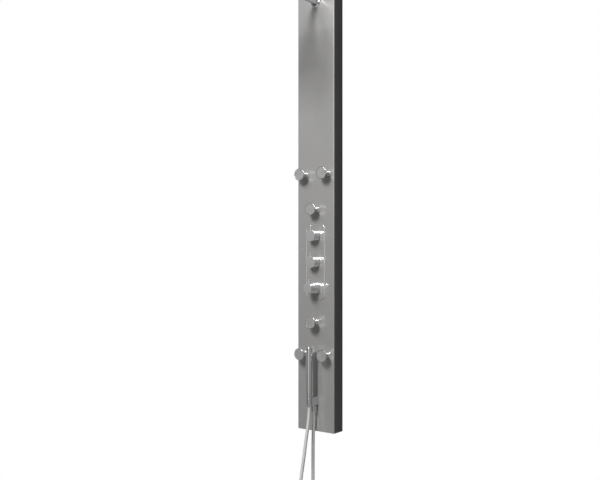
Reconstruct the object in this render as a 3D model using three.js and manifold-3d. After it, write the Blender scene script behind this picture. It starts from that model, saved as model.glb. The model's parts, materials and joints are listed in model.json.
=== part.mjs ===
// A wall shower column: a tall steel panel on two wall brackets, with an overhead rain shower on an arm,
// six swivelling body jets, three valves on one cover plate, and a hand shower on a hose.
// Millimetres. X runs to the right as seen from the front, Y runs into the wall, Z is up.
// The origin is the centre of the upper wall plate's rear face, on the wall.
import * as THREE from "three";
import { mergeVertices } from "three/addons/utils/BufferGeometryUtils.js";
import Module from "manifold-3d";

const wasm = await Module();
wasm.setup();

// ---- Clearances ----
const FIT = 0.3; // between pieces that seat in or on each other
const WALL_GAP = 1; // the panel's rear edges and the inlet unions stop this far short of the wall
const OVERRUN = 1; // how far a cut, or the root of a joined piece, runs past a face

// ---- Panel: a tray of folded sheet, open at the back ----
const PANEL_WIDTH = 150;
const PANEL_HEIGHT = 1510;
const PANEL_DEPTH = 52;
const SHEET = 2;
const BEND_RADIUS = 0.6; // inside the fold

// ---- Heights up the panel, from its lower edge or from the fitting below ----
const HOLDER_TOP_HEIGHT = 119;
const LOWER_VALVE_HEIGHT = 484;
const LOWER_TO_MIDDLE_VALVE = 88;
const MIDDLE_TO_UPPER_VALVE = 89;
const MIDDLE_VALVE_TO_INLETS = 44;
const UPPER_VALVE_TO_CENTRE_JET = 89;
const CENTRE_JET_TO_UPPER_PAIR = 119;
const LOWER_VALVE_TO_CENTRE_JET = 115; // down
const CENTRE_JET_TO_LOWER_PAIR = 109; // down
const ARM_BELOW_TOP = 56;

// ---- Wall plate with an upturned hook, and the crossbar that hangs on it ----
const PLATE_WIDTH = 100;
const PLATE_HEIGHT = 40;
const PLATE_THICKNESS = 3;
const PLATE_ABOVE_ARM = 6;
const HOOK_SLOT = 6; // from the plate's front to the lip
const LIP_HEIGHT = 12;
const BAR_SHEET = 2;
const BAR_ABOVE_LIP = 2;
const BAR_FLANGE_CLEARANCE = 2; // above the arm socket's flange
const SCREW_HOLE_RADIUS = 3.2;
const SCREW_SPACING = 60;

// ---- Lower bracket ----
const FOOT_WIDTH = 50;
const FOOT_HEIGHT = 40;
const FOOT_REACH = 30;
const FOOT_THICKNESS = 3;

// ---- Body jets ----
const JET_SPACING = 92;
const STEM_RADIUS = 9.2;
const STEM_TAIL = 14; // behind the panel's face
const STEM_REACH = 9.6; // in front of it
const COLLAR_RADIUS = 12;
const COLLAR_LENGTH = 5.7;
const JET_BALL_OUT = 20; // ball centre in front of the face
const JET_BALL_RADIUS = 7;
const JET_NECK_RADIUS = 3.2;
const JET_SEAT_WALL = 1.2;
const JET_SOCKET_WALL = 2.4;
const JET_RADIUS = 20;
const JET_LENGTH = 14; // from the ball's centre to the spray face
const JET_RIM_WALL = 1.7;
const JET_RIM_LENGTH = 1.8;
const JET_FACE_THICKNESS = 2.3;
const BALL_PLAY = 0.4; // ball to seat
const SOCKET_PLAY = 0.5; // seat to socket

// ---- Overhead shower ----
const ARM_RADIUS = 11;
const ARM_LENGTH = 360; // from the face of the panel to the overhead shower
const ARM_BEND = 16;
const ARM_TAIL = 26;
const ROSE_RADIUS = 20; // cover ring at the arm's root
const ROSE_THICKNESS = 6;
const SOCKET_RADIUS = 15;
const SOCKET_END_WALL = 10;
const SOCKET_FLANGE_RADIUS = 20;
const SOCKET_FLANGE_THICKNESS = 4;
const RAIN_BALL_DROP = 32; // below the arm's axis
const RAIN_BALL_RADIUS = 9;
const RAIN_NECK_RADIUS = 5.5;
const RAIN_NECK_LENGTH = 5;
const RAIN_SEAT_WALL = 1.4;
const RAIN_SOCKET_WALL = 2.2;
const RAIN_RADIUS = 100;
const RAIN_RIM_HEIGHT = 6.5;
const RAIN_BODY_DROP = 13.5; // from the ball's centre to the top of the rim
const RAIN_RIM_WALL = 3;
const RAIN_FACE_THICKNESS = 2.3;
const RAIN_ROOF_RISE = 3.5; // from the rim to the boss
const RAIN_RIM_ROUND = 1;
const RAIN_SHELL_WALL = 3.5;

// ---- Valves ----
const COVER_WIDTH = 75;
const COVER_END_MARGIN = 38.5; // past the top and bottom valve axes
const COVER_CORNER_RADIUS = 18;
const COVER_THICKNESS = 2.2;
const MIXER_WIDTH = 60;
const MIXER_DEPTH = 43;
const MIXER_END_MARGIN = 30;
const CARTRIDGE_RADIUS = 12;
const CARTRIDGE_TAIL = 18; // behind the panel's face
const CARTRIDGE_FLOOR = 4;
const SPINDLE_RADIUS = 5;
const SPINDLE_IN_KNOB = 17;
const KNOB_RADIUS = 18.9;
const KNOB_LENGTH = 30.7;
const KNOB_GAP = 0.8; // running gap to the cover plate
const KNOB_CHAMFER = 1.2;
const TAPER_KNOB_BASE_RADIUS = 20;
const TAPER_KNOB_FRONT_RADIUS = 16.5;
const TAPER_KNOB_LENGTH = 45.7;
const LEVER_RADIUS = 3.3;
const LEVER_STANDS = 14.1; // beyond the knob's side
const LEVER_DEPTH = 6; // sunk into it
const LEVER_FROM_FRONT = 5.6;
const TAPER_LEVER_FROM_FRONT = 10.4;

// ---- Hand shower, its holder and its hose ----
const STICK_RADIUS = 12;
const STICK_LENGTH = 169;
const STICK_OUT = 37; // axis in front of the panel's face
const STICK_END_ROUND = 3;
const SPIGOT_RADIUS = 5;
const SPIGOT_LENGTH = 9;
const INSERT_WIDTH = 13;
const INSERT_LENGTH = 74;
const INSERT_DEPTH = 3;
const INSERT_BELOW_TOP = 12;
const HOLDER_HEIGHT = 27;
const HOLDER_WALL = 2.7; // around the cone's wide end
const WATERWAY_RADIUS = 2;
const HOLDER_STEM_RADIUS = 8;
const OUTLET_OUT = 11.4;
const OUTLET_SPIGOT_RADIUS = 7;
const OUTLET_SPIGOT_LENGTH = 12;
const OUTLET_NUT_RADIUS = 10;
const OUTLET_NUT_LENGTH = 23;
const OUTLET_NUT_DROP = 5; // below the holder
const OUTLET_NUT_CHAMFER = 1;
const CONE_TAPER = 1.8; // wide radius less narrow radius, over the holder's height
const CONE_STANDS_BELOW = 3;
const CONE_HOSE_DEPTH = 15;
const HOSE_RADIUS = 5.5;
const HOSE_SIDES = 10;
const HOSE_STEPS = 56;

// ---- Pipes inside the panel ----
const JET_PIPE_RADIUS = 7.5;
const BOSS_RADIUS = 10;
const BOSS_LENGTH = 10.7;
const FEED_RADIUS = 6;
const FEED_OFFSET = 20; // of the riser and the hose feed from the middle
const FEED_GAP = 1; // between them and the jet pipes in front
const FEED_SHIFT = 30; // height over which a feed moves from its offset to the middle
const FEED_BEND = 9;
const INLET_RADIUS = 8;
const INLET_BEND = 10;
const UNION_RADIUS = 12;
const UNION_LENGTH = 11;
const INLET_OFFSET = 52;

// ---- Places worked out from the sizes above ----
const MIDDLE_VALVE_HEIGHT = LOWER_VALVE_HEIGHT + LOWER_TO_MIDDLE_VALVE;
const UPPER_VALVE_HEIGHT = MIDDLE_VALVE_HEIGHT + MIDDLE_TO_UPPER_VALVE;
const INLET_HEIGHT = MIDDLE_VALVE_HEIGHT + MIDDLE_VALVE_TO_INLETS;
const UPPER_CENTRE_HEIGHT = UPPER_VALVE_HEIGHT + UPPER_VALVE_TO_CENTRE_JET;
const UPPER_PAIR_HEIGHT = UPPER_CENTRE_HEIGHT + CENTRE_JET_TO_UPPER_PAIR;
const LOWER_CENTRE_HEIGHT = LOWER_VALVE_HEIGHT - LOWER_VALVE_TO_CENTRE_JET;
const LOWER_PAIR_HEIGHT = LOWER_CENTRE_HEIGHT - CENTRE_JET_TO_LOWER_PAIR;
const ARM_HEIGHT = PANEL_HEIGHT - ARM_BELOW_TOP;
const WALL_PLATE_HEIGHT = ARM_HEIGHT + PLATE_ABOVE_ARM;
const FACE_BACK = -SHEET - FIT; // seat behind the panel's sheet, measured out from its face
const PIPE_OUT = -(STEM_TAIL + FIT + BOSS_LENGTH);
const FEED_OUT = PIPE_OUT - JET_PIPE_RADIUS - FEED_GAP - FEED_RADIUS;
const COVER_FRONT = FIT + COVER_THICKNESS;
const HOLDER_BOTTOM_HEIGHT = HOLDER_TOP_HEIGHT - HOLDER_HEIGHT;
const HOLDER_STEM_HEIGHT = HOLDER_TOP_HEIGHT - HOLDER_HEIGHT / 2;
const MIXER_TOP = UPPER_VALVE_HEIGHT + MIXER_END_MARGIN;
const MIXER_BOTTOM = LOWER_VALVE_HEIGHT - MIXER_END_MARGIN;

// The hose's middle line, chosen by hand: how far it stands out from the panel's face, and its height.
// It drops from the hand shower, swings forward, turns under and rises to the outlet.
const HOSE_ROUTE = [
  [37, 103.7],
  [37, 84],
  [38.6, 64],
  [42, 44],
  [48.3, 12],
  [57, -24],
  [68.5, -76],
  [81.5, -131],
  [91.5, -181],
  [99.5, -231],
  [105.5, -281],
  [109.5, -331],
  [111, -384],
  [107.4, -402.2],
  [97.1, -417.6],
  [81.7, -427.9],
  [63.5, -431.5],
  [45.3, -427.9],
  [29.9, -417.6],
  [19.6, -402.2],
  [16, -384],
  [16.2, -320],
  [16.5, -240],
  [16.5, -160],
  [16.4, -85],
  [15.6, -25],
  [13.6, 20],
  [11.8, 50],
  [11.4, 79.7],
];

// ---- Finishes ----
const satin = new THREE.MeshStandardMaterial({ color: 0x8f8f8d, roughness: 0.24, metalness: 0.9 });
const chrome = new THREE.MeshStandardMaterial({ color: 0xd4d6d8, roughness: 0.07, metalness: 1 });
const sprayFace = new THREE.MeshStandardMaterial({ color: 0x9a9a98, roughness: 0.45, metalness: 0.2 });
const braid = new THREE.MeshStandardMaterial({ color: 0xc9cbcd, roughness: 0.2, metalness: 0.9 });
const zinc = new THREE.MeshStandardMaterial({ color: 0x9fa1a2, roughness: 0.5, metalness: 0.8 });
const brass = new THREE.MeshStandardMaterial({ color: 0xb08d4c, roughness: 0.4, metalness: 0.9 });
const copper = new THREE.MeshStandardMaterial({ color: 0xb06a43, roughness: 0.35, metalness: 0.9 });
const nylon = new THREE.MeshStandardMaterial({ color: 0xd8d6cf, roughness: 0.6, metalness: 0 });

// ---- Making solids ----

// The manifold-3d solid of a closed three.js geometry.
function solid(geometry) {
  const bare = new THREE.BufferGeometry().setAttribute("position", geometry.getAttribute("position"));
  bare.setIndex(geometry.index);
  const merged = mergeVertices(bare.index ? bare.toNonIndexed() : bare, 1e-4);
  const triVerts = new Uint32Array(merged.index.array);
  return new wasm.Manifold(
    new wasm.Mesh({ numProp: 3, vertProperties: merged.attributes.position.array, triVerts }),
  );
}

// The three.js geometry of a manifold-3d solid, with flat facets.
function facets(body) {
  const { vertProperties, triVerts } = body.getMesh();
  const geometry = new THREE.BufferGeometry()
    .setAttribute("position", new THREE.BufferAttribute(vertProperties, 3))
    .setIndex(new THREE.BufferAttribute(triVerts, 1))
    .toNonIndexed();
  geometry.computeVertexNormals();
  return geometry;
}

// Several geometries joined, less several others.
function shaped(parts, holes = []) {
  const joined = parts.map(solid).reduce((all, next) => all.add(next));
  return facets(holes.map(solid).reduce((rest, hole) => rest.subtract(hole), joined));
}

function box(x0, x1, y0, y1, z0, z1) {
  return new THREE.BoxGeometry(x1 - x0, y1 - y0, z1 - z0).translate(
    (x0 + x1) / 2,
    (y0 + y1) / 2,
    (z0 + z1) / 2,
  );
}

// A turned piece about the vertical: the profile's points are [radius, height].
function turned(profile, sides = 20) {
  const points = profile.map(([r, z]) => new THREE.Vector2(r, z));
  return new THREE.LatheGeometry(points, sides).rotateX(Math.PI / 2);
}

// A turned piece that points out of the panel: the profile's points are [radius, distance out].
function turnedOut(profile, sides = 20) {
  return turned(profile, sides).rotateX(Math.PI / 2);
}

// A closed profile for a ring: its first point is repeated at the end.
const ring = (profile) => [...profile, profile[0]];

const rod = (radius, from, to) => [[0, from], [radius, from], [radius, to], [0, to]];

// Points on an arc about [0, centre], from one angle to another, measured from the profile's axis.
function arc(radius, centre, fromDegrees, toDegrees, steps) {
  return Array.from({ length: steps + 1 }, (_, i) => {
    const angle = THREE.MathUtils.degToRad(fromDegrees + ((toDegrees - fromDegrees) * i) / steps);
    return [radius * Math.sin(angle), centre + radius * Math.cos(angle)];
  });
}

// A straight bar across the panel with the outline [y, z].
function barAcross(outline, width) {
  const shape = new THREE.Shape(outline.map(([y, z]) => new THREE.Vector2(y, z)));
  const along = new THREE.Matrix4().makeBasis(
    new THREE.Vector3(0, 1, 0),
    new THREE.Vector3(0, 0, 1),
    new THREE.Vector3(1, 0, 0),
  );
  return new THREE.ExtrudeGeometry(shape, { depth: width, bevelEnabled: false })
    .translate(0, 0, -width / 2)
    .applyMatrix4(along);
}

// A plate with a given outline in X and Z, from one distance out of the panel to another.
function plateOut(shape, from, to, curveSegments = 12) {
  return new THREE.ExtrudeGeometry(shape, { depth: to - from, bevelEnabled: false, curveSegments })
    .rotateX(Math.PI / 2)
    .translate(0, -from, 0);
}

// A straight round pipe between two points.
function pipe(from, to, radius, sides = 12) {
  const a = new THREE.Vector3(...from);
  const b = new THREE.Vector3(...to);
  const turn = new THREE.Quaternion().setFromUnitVectors(
    new THREE.Vector3(0, 1, 0),
    b.clone().sub(a).normalize(),
  );
  const middle = a.clone().add(b).multiplyScalar(0.5);
  return new THREE.CylinderGeometry(radius, radius, a.distanceTo(b), sides)
    .applyQuaternion(turn)
    .translate(...middle);
}

// A path of straight runs joined by arcs. Its only stops are the ends of the runs and a few points on each
// arc, so a sweep along it spends no sections on the straight runs.
class BentPath extends THREE.Curve {
  constructor(corners, bendRadius, arcSteps) {
    super();
    const points = corners.map((corner) => new THREE.Vector3(...corner));
    const heading = (i) => points[i + 1].clone().sub(points[i]).normalize();
    const last = points.length - 1;
    this.stops = [{ point: points[0], tangent: heading(0) }];
    for (let i = 1; i < last; i += 1) {
      this.addBend(points[i], heading(i - 1), heading(i), bendRadius, arcSteps);
    }
    this.stops.push({ point: points[last], tangent: heading(last - 1) });
  }

  addBend(corner, before, after, radius, steps) {
    const turn = before.angleTo(after);
    const inward = after.clone().addScaledVector(before, -Math.cos(turn)).normalize();
    const start = corner.clone().addScaledVector(before, -radius * Math.tan(turn / 2));
    for (let k = 0; k <= steps; k += 1) {
      const angle = (turn * k) / steps;
      const ahead = Math.sin(angle);
      const aside = 1 - Math.cos(angle);
      this.stops.push({
        point: start.clone().addScaledVector(before, radius * ahead).addScaledVector(inward, radius * aside),
        tangent: before.clone().multiplyScalar(Math.cos(angle)).addScaledVector(inward, ahead),
      });
    }
  }

  stopAt(u) {
    return this.stops[Math.round(u * (this.stops.length - 1))];
  }

  getPoint(u, target = new THREE.Vector3()) {
    return target.copy(this.stopAt(u).point);
  }

  getPointAt(u, target) {
    return this.getPoint(u, target);
  }

  getTangentAt(u, target = new THREE.Vector3()) {
    return target.copy(this.stopAt(u).tangent);
  }
}

// A round section with a given number of sides.
function roundSection(radius, sides) {
  return new THREE.Shape(
    Array.from({ length: sides }, (_, i) => {
      const angle = (2 * Math.PI * i) / sides;
      return new THREE.Vector2(radius * Math.cos(angle), radius * Math.sin(angle));
    }),
  );
}

// A pipe through a list of corner points, bent at each.
function bentPipe(corners, radius, bendRadius, sides = 12, arcSteps = 3) {
  const path = new BentPath(corners, bendRadius, arcSteps);
  return new THREE.ExtrudeGeometry(roundSection(radius, sides), {
    steps: path.stops.length - 1,
    extrudePath: path,
  });
}

// ---- The assembly ----
const column = new THREE.Group();
column.position.z = -WALL_PLATE_HEIGHT;

// Fittings are placed from the panel's face: y = 0 on it, and y negative in front of it.
const face = new THREE.Group();
face.position.y = -PANEL_DEPTH;
column.add(face);

function place(parent, name, geometry, material, x = 0, y = 0, z = 0) {
  const mesh = new THREE.Mesh(geometry, material);
  mesh.name = name;
  mesh.position.set(x, y, z);
  parent.add(mesh);
}

const JETS = [
  ["upper_left", -JET_SPACING / 2, UPPER_PAIR_HEIGHT],
  ["upper_right", JET_SPACING / 2, UPPER_PAIR_HEIGHT],
  ["upper_centre", 0, UPPER_CENTRE_HEIGHT],
  ["lower_centre", 0, LOWER_CENTRE_HEIGHT],
  ["lower_left", -JET_SPACING / 2, LOWER_PAIR_HEIGHT],
  ["lower_right", JET_SPACING / 2, LOWER_PAIR_HEIGHT],
];

const VALVES = [
  ["upper", UPPER_VALVE_HEIGHT],
  ["middle", MIDDLE_VALVE_HEIGHT],
  ["lower", LOWER_VALVE_HEIGHT],
];

// ---- Panel ----

// The section of a tray that is open to the wall, with its two front corners rounded.
function traySection(halfWidth, front, back, radius) {
  const shape = new THREE.Shape();
  shape.moveTo(halfWidth, back);
  shape.lineTo(-halfWidth, back);
  shape.lineTo(-halfWidth, front + radius);
  shape.absarc(-halfWidth + radius, front + radius, radius, Math.PI, 1.5 * Math.PI, false);
  shape.lineTo(halfWidth - radius, front);
  shape.absarc(halfWidth - radius, front + radius, radius, 1.5 * Math.PI, 2 * Math.PI, false);
  return shape;
}

function panelShell() {
  const half = PANEL_WIDTH / 2;
  const outside = traySection(half, 0, PANEL_DEPTH - WALL_GAP, BEND_RADIUS + SHEET);
  const inside = traySection(half - SHEET, SHEET, PANEL_DEPTH, BEND_RADIUS);
  const folds = { bevelEnabled: false, curveSegments: 4 };
  const body = new THREE.ExtrudeGeometry(outside, { ...folds, depth: PANEL_HEIGHT });
  const hollow = new THREE.ExtrudeGeometry(inside, { ...folds, depth: PANEL_HEIGHT - 2 * SHEET });
  const hole = (radius, x, z) =>
    turnedOut(rod(radius + FIT, -SHEET - OVERRUN, OVERRUN), 16).translate(x, 0, z);
  return shaped(
    [body],
    [
      hollow.translate(0, 0, SHEET),
      ...JETS.map(([, x, z]) => hole(STEM_RADIUS, x, z)),
      ...VALVES.map(([, z]) => hole(CARTRIDGE_RADIUS, 0, z)),
      hole(ARM_RADIUS, 0, ARM_HEIGHT),
      hole(HOLDER_STEM_RADIUS, 0, HOLDER_STEM_HEIGHT),
    ],
  );
}

place(face, "panel_shell", panelShell(), satin);

// ---- Brackets ----
const PLATE_HALF = PLATE_HEIGHT / 2;
const LIP_BACK = -(PLATE_THICKNESS + HOOK_SLOT);
const LIP_TOP = PLATE_HALF + LIP_HEIGHT;
const BAR_TOP = LIP_TOP + BAR_ABOVE_LIP + BAR_SHEET;

function wallPlate() {
  const lipFront = LIP_BACK - PLATE_THICKNESS;
  const outline = [
    [0, -PLATE_HALF],
    [0, PLATE_HALF],
    [LIP_BACK, PLATE_HALF],
    [LIP_BACK, LIP_TOP],
    [lipFront, LIP_TOP],
    [lipFront, PLATE_HALF - PLATE_THICKNESS],
    [-PLATE_THICKNESS, PLATE_HALF - PLATE_THICKNESS],
    [-PLATE_THICKNESS, -PLATE_HALF],
  ];
  const screwHole = (x) => pipe([x, OVERRUN, 0], [x, -PLATE_THICKNESS - OVERRUN, 0], SCREW_HOLE_RADIUS);
  return shaped(
    [barAcross(outline, PLATE_WIDTH)],
    [screwHole(-SCREW_SPACING / 2), screwHole(SCREW_SPACING / 2)],
  );
}

// An inverted trough: its rear tongue sits in the wall plate's hook, its front flange on the panel's sheet.
function crossbar() {
  const tongueFront = LIP_BACK + FIT;
  const front = -(PANEL_DEPTH - SHEET - FIT);
  const underTop = BAR_TOP - BAR_SHEET;
  const flangeEnd = SOCKET_FLANGE_RADIUS + BAR_FLANGE_CLEARANCE - PLATE_ABOVE_ARM;
  const outline = [
    [tongueFront + BAR_SHEET, PLATE_HALF + FIT],
    [tongueFront + BAR_SHEET, BAR_TOP],
    [front, BAR_TOP],
    [front, flangeEnd],
    [front + BAR_SHEET, flangeEnd],
    [front + BAR_SHEET, underTop],
    [tongueFront, underTop],
    [tongueFront, PLATE_HALF + FIT],
  ];
  return barAcross(outline, PANEL_WIDTH - 2 * (SHEET + BEND_RADIUS + FIT));
}

// An angle on the wall, over the panel's bottom fold.
function lowerBracket() {
  const bottom = SHEET + FIT;
  const outline = [
    [0, bottom],
    [0, bottom + FOOT_HEIGHT],
    [-FOOT_THICKNESS, bottom + FOOT_HEIGHT],
    [-FOOT_THICKNESS, bottom + FOOT_THICKNESS],
    [-FOOT_REACH, bottom + FOOT_THICKNESS],
    [-FOOT_REACH, bottom],
  ];
  const holeHeight = bottom + 0.75 * FOOT_HEIGHT;
  const hole = pipe([0, OVERRUN, holeHeight], [0, -FOOT_THICKNESS - OVERRUN, holeHeight], SCREW_HOLE_RADIUS);
  return shaped([barAcross(outline, FOOT_WIDTH)], [hole]);
}

place(column, "wall_plate", wallPlate(), zinc, 0, 0, WALL_PLATE_HEIGHT);
place(column, "panel_crossbar", crossbar(), zinc, 0, 0, WALL_PLATE_HEIGHT);
place(column, "lower_bracket", lowerBracket(), zinc);

// ---- Body jets ----
// Each jet is a stem with a ball, a seat on the ball, and a head with a spray face around the seat.
const JET_SEAT_INNER = JET_BALL_RADIUS + BALL_PLAY;
const JET_SEAT_OUTER = JET_SEAT_INNER + JET_SEAT_WALL;
const JET_SOCKET = JET_SEAT_OUTER + SOCKET_PLAY;
const JET_FRONT = JET_BALL_OUT + JET_LENGTH;

function jetStem() {
  const collarFront = FACE_BACK;
  const collarBack = collarFront - COLLAR_LENGTH;
  const neckAngle = 180 - THREE.MathUtils.radToDeg(Math.asin(JET_NECK_RADIUS / JET_BALL_RADIUS));
  return [
    [0, -STEM_TAIL],
    [STEM_RADIUS, -STEM_TAIL],
    [STEM_RADIUS, collarBack],
    [COLLAR_RADIUS, collarBack],
    [COLLAR_RADIUS, collarFront],
    [STEM_RADIUS, collarFront],
    [STEM_RADIUS, STEM_REACH],
    [JET_NECK_RADIUS, STEM_REACH],
    ...arc(JET_BALL_RADIUS, JET_BALL_OUT, neckAngle, 0, 5),
  ];
}

// A band of a hollow ball, open at both poles.
const seatBand = (inner, outer, centre) =>
  ring([...arc(outer, centre, 125, 50, 3), ...arc(inner, centre, 50, 125, 3)]);

function jetHead() {
  const neckOpening = 133; // degrees from the front: leaves the neck free when the head is tilted
  const recess = JET_RADIUS - JET_RIM_WALL;
  const ledge = JET_FRONT - JET_FACE_THICKNESS - FIT;
  const socket = arc(JET_SOCKET, JET_BALL_OUT, 45, neckOpening, 4);
  const backEdge = socket[socket.length - 1][1];
  return ring([
    [JET_SOCKET + JET_SOCKET_WALL, backEdge],
    [JET_RADIUS, JET_FRONT - JET_RIM_LENGTH],
    [JET_RADIUS, JET_FRONT],
    [recess, JET_FRONT],
    [recess, ledge],
    [recess - JET_RIM_WALL, ledge],
    [socket[0][0], JET_BALL_OUT + 0.52 * JET_LENGTH],
    ...socket,
  ]);
}

function jetFace() {
  return rod(JET_RADIUS - JET_RIM_WALL - FIT, JET_FRONT - JET_FACE_THICKNESS, JET_FRONT);
}

for (const [name, x, z] of JETS) {
  place(face, `jet_stem_${name}`, turnedOut(jetStem(), 16), chrome, x, 0, z);
  const seat = turnedOut(seatBand(JET_SEAT_INNER, JET_SEAT_OUTER, JET_BALL_OUT), 16);
  place(face, `jet_seat_${name}`, seat, nylon, x, 0, z);
  place(face, `jet_head_${name}`, turnedOut(jetHead(), 16), chrome, x, 0, z);
  place(face, `jet_face_${name}`, turnedOut(jetFace(), 16), sprayFace, x, 0, z);
}

// ---- Overhead shower ----
const RAIN_SEAT_INNER = RAIN_BALL_RADIUS + BALL_PLAY;
const RAIN_SEAT_OUTER = RAIN_SEAT_INNER + RAIN_SEAT_WALL;
const RAIN_SOCKET = RAIN_SEAT_OUTER + SOCKET_PLAY;
const RAIN_BALL_HEIGHT = ARM_HEIGHT - RAIN_BALL_DROP;

function armSocket() {
  const bottom = -(ARM_TAIL + FIT);
  const flangeBack = FACE_BACK - SOCKET_FLANGE_THICKNESS;
  return [
    [0, bottom - SOCKET_END_WALL],
    [SOCKET_RADIUS, bottom - SOCKET_END_WALL],
    [SOCKET_RADIUS, flangeBack],
    [SOCKET_FLANGE_RADIUS, flangeBack],
    [SOCKET_FLANGE_RADIUS, FACE_BACK],
    [ARM_RADIUS + FIT, FACE_BACK],
    [ARM_RADIUS + FIT, bottom],
    [0, bottom],
  ];
}

function armRose() {
  return ring([
    [ARM_RADIUS + FIT, FIT],
    [ROSE_RADIUS, FIT],
    [ROSE_RADIUS, ROSE_THICKNESS / 2],
    [ROSE_RADIUS - ROSE_THICKNESS / 2, ROSE_THICKNESS],
    [ARM_RADIUS + FIT, ROSE_THICKNESS],
  ]);
}

// The arm with its bend down, and the neck and ball that the rain shower turns on.
function showerArm() {
  const tipHeight = RAIN_BALL_RADIUS + RAIN_NECK_LENGTH - RAIN_BALL_DROP;
  const corners = [
    [0, ARM_TAIL, 0],
    [0, -ARM_LENGTH, 0],
    [0, -ARM_LENGTH, tipHeight],
  ];
  return shaped([
    bentPipe(corners, ARM_RADIUS, ARM_BEND, 16, 6),
    turned(rod(RAIN_NECK_RADIUS, -RAIN_BALL_DROP, tipHeight + OVERRUN), 16).translate(0, -ARM_LENGTH, 0),
    new THREE.SphereGeometry(RAIN_BALL_RADIUS, 16, 10).translate(0, -ARM_LENGTH, -RAIN_BALL_DROP),
  ]);
}

// A shallow bell about the ball's centre: a boss with the socket, a thin roof and a rim.
function rainHead() {
  const neckOpening = 53; // degrees from the top: leaves the neck free when the head is tilted
  const socket = arc(RAIN_SOCKET, 0, neckOpening, 140, 5);
  const boss = RAIN_SOCKET + RAIN_SOCKET_WALL;
  const rimTop = -RAIN_BODY_DROP;
  const rimBottom = rimTop - RAIN_RIM_HEIGHT;
  const recess = RAIN_RADIUS - RAIN_RIM_WALL;
  const ledge = rimBottom + RAIN_FACE_THICKNESS + FIT;
  const shoulder = rimTop + RAIN_ROOF_RISE;
  return ring([
    ...socket,
    [socket[socket.length - 1][0], shoulder - RAIN_SHELL_WALL],
    [recess - RAIN_RIM_WALL, ledge],
    [recess, ledge],
    [recess, rimBottom],
    [RAIN_RADIUS, rimBottom],
    [RAIN_RADIUS, rimTop],
    [RAIN_RADIUS - RAIN_RIM_WALL, rimTop + RAIN_RIM_ROUND],
    [boss + RAIN_SHELL_WALL, shoulder],
    [boss, shoulder + RAIN_SHELL_WALL],
    [boss, socket[0][1]],
  ]);
}

function rainFace() {
  const bottom = -RAIN_BODY_DROP - RAIN_RIM_HEIGHT;
  return rod(RAIN_RADIUS - RAIN_RIM_WALL - FIT, bottom, bottom + RAIN_FACE_THICKNESS);
}

place(face, "arm_socket", turnedOut(armSocket()), brass, 0, 0, ARM_HEIGHT);
place(face, "arm_rose", turnedOut(armRose(), 24), chrome, 0, 0, ARM_HEIGHT);
place(face, "shower_arm", showerArm(), chrome, 0, 0, ARM_HEIGHT);
const rainSeat = turned(seatBand(RAIN_SEAT_INNER, RAIN_SEAT_OUTER, 0), 16);
place(face, "rain_seat", rainSeat, nylon, 0, -ARM_LENGTH, RAIN_BALL_HEIGHT);
place(face, "rain_head", turned(rainHead(), 36), chrome, 0, -ARM_LENGTH, RAIN_BALL_HEIGHT);
place(face, "rain_face", turned(rainFace(), 36), sprayFace, 0, -ARM_LENGTH, RAIN_BALL_HEIGHT);

// ---- Valves ----
function coverPlate() {
  const across = COVER_WIDTH / 2 - COVER_CORNER_RADIUS;
  const top = UPPER_VALVE_HEIGHT + COVER_END_MARGIN - COVER_CORNER_RADIUS;
  const bottom = LOWER_VALVE_HEIGHT - COVER_END_MARGIN + COVER_CORNER_RADIUS;
  const shape = new THREE.Shape();
  shape.absarc(across, top, COVER_CORNER_RADIUS, 0, 0.5 * Math.PI, false);
  shape.absarc(-across, top, COVER_CORNER_RADIUS, 0.5 * Math.PI, Math.PI, false);
  shape.absarc(-across, bottom, COVER_CORNER_RADIUS, Math.PI, 1.5 * Math.PI, false);
  shape.absarc(across, bottom, COVER_CORNER_RADIUS, 1.5 * Math.PI, 2 * Math.PI, false);
  const hole = (z) =>
    turnedOut(rod(CARTRIDGE_RADIUS + FIT, 0, COVER_FRONT + OVERRUN), 16).translate(0, 0, z);
  return shaped([plateOut(shape, FIT, COVER_FRONT, 7)], VALVES.map(([, z]) => hole(z)));
}

function mixerBlock() {
  const half = MIXER_WIDTH / 2;
  const front = -FACE_BACK;
  const block = box(-half, half, front, front + MIXER_DEPTH, MIXER_BOTTOM, MIXER_TOP);
  const bore = rod(CARTRIDGE_RADIUS + FIT, -(CARTRIDGE_TAIL + FIT), 0);
  return shaped([block], VALVES.map(([, z]) => turnedOut(bore, 16).translate(0, 0, z)));
}

function cartridge() {
  const front = COVER_FRONT - FIT;
  const floor = -CARTRIDGE_TAIL + CARTRIDGE_FLOOR;
  return [
    [0, -CARTRIDGE_TAIL],
    [CARTRIDGE_RADIUS, -CARTRIDGE_TAIL],
    [CARTRIDGE_RADIUS, front],
    [SPINDLE_RADIUS + FIT, front],
    [SPINDLE_RADIUS + FIT, floor],
    [0, floor],
  ];
}

const KNOB_BACK = COVER_FRONT + KNOB_GAP;
const SPINDLE_TIP = KNOB_BACK + SPINDLE_IN_KNOB;

// A knob with a bore for its spindle and a hole in its upper side for its lever.
function knob(backRadius, frontRadius, length, leverOut) {
  const front = KNOB_BACK + length;
  const hub = SPINDLE_RADIUS + FIT;
  const profile = [
    [0, SPINDLE_TIP + FIT],
    [hub, SPINDLE_TIP + FIT],
    [hub, KNOB_BACK],
    [backRadius, KNOB_BACK],
    [frontRadius, front - KNOB_CHAMFER],
    [frontRadius - KNOB_CHAMFER, front],
    [0, front],
  ];
  const hole = turned(rod(LEVER_RADIUS + FIT, frontRadius - LEVER_DEPTH - FIT, backRadius + OVERRUN), 12);
  return shaped([turnedOut(profile, 28)], [hole.translate(0, -leverOut, 0)]);
}

function lever(knobRadius) {
  const top = knobRadius + LEVER_STANDS;
  const dome = arc(LEVER_RADIUS, top - LEVER_RADIUS, 90, 0, 3);
  return turned([[0, knobRadius - LEVER_DEPTH], [LEVER_RADIUS, knobRadius - LEVER_DEPTH], ...dome], 12);
}

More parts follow.
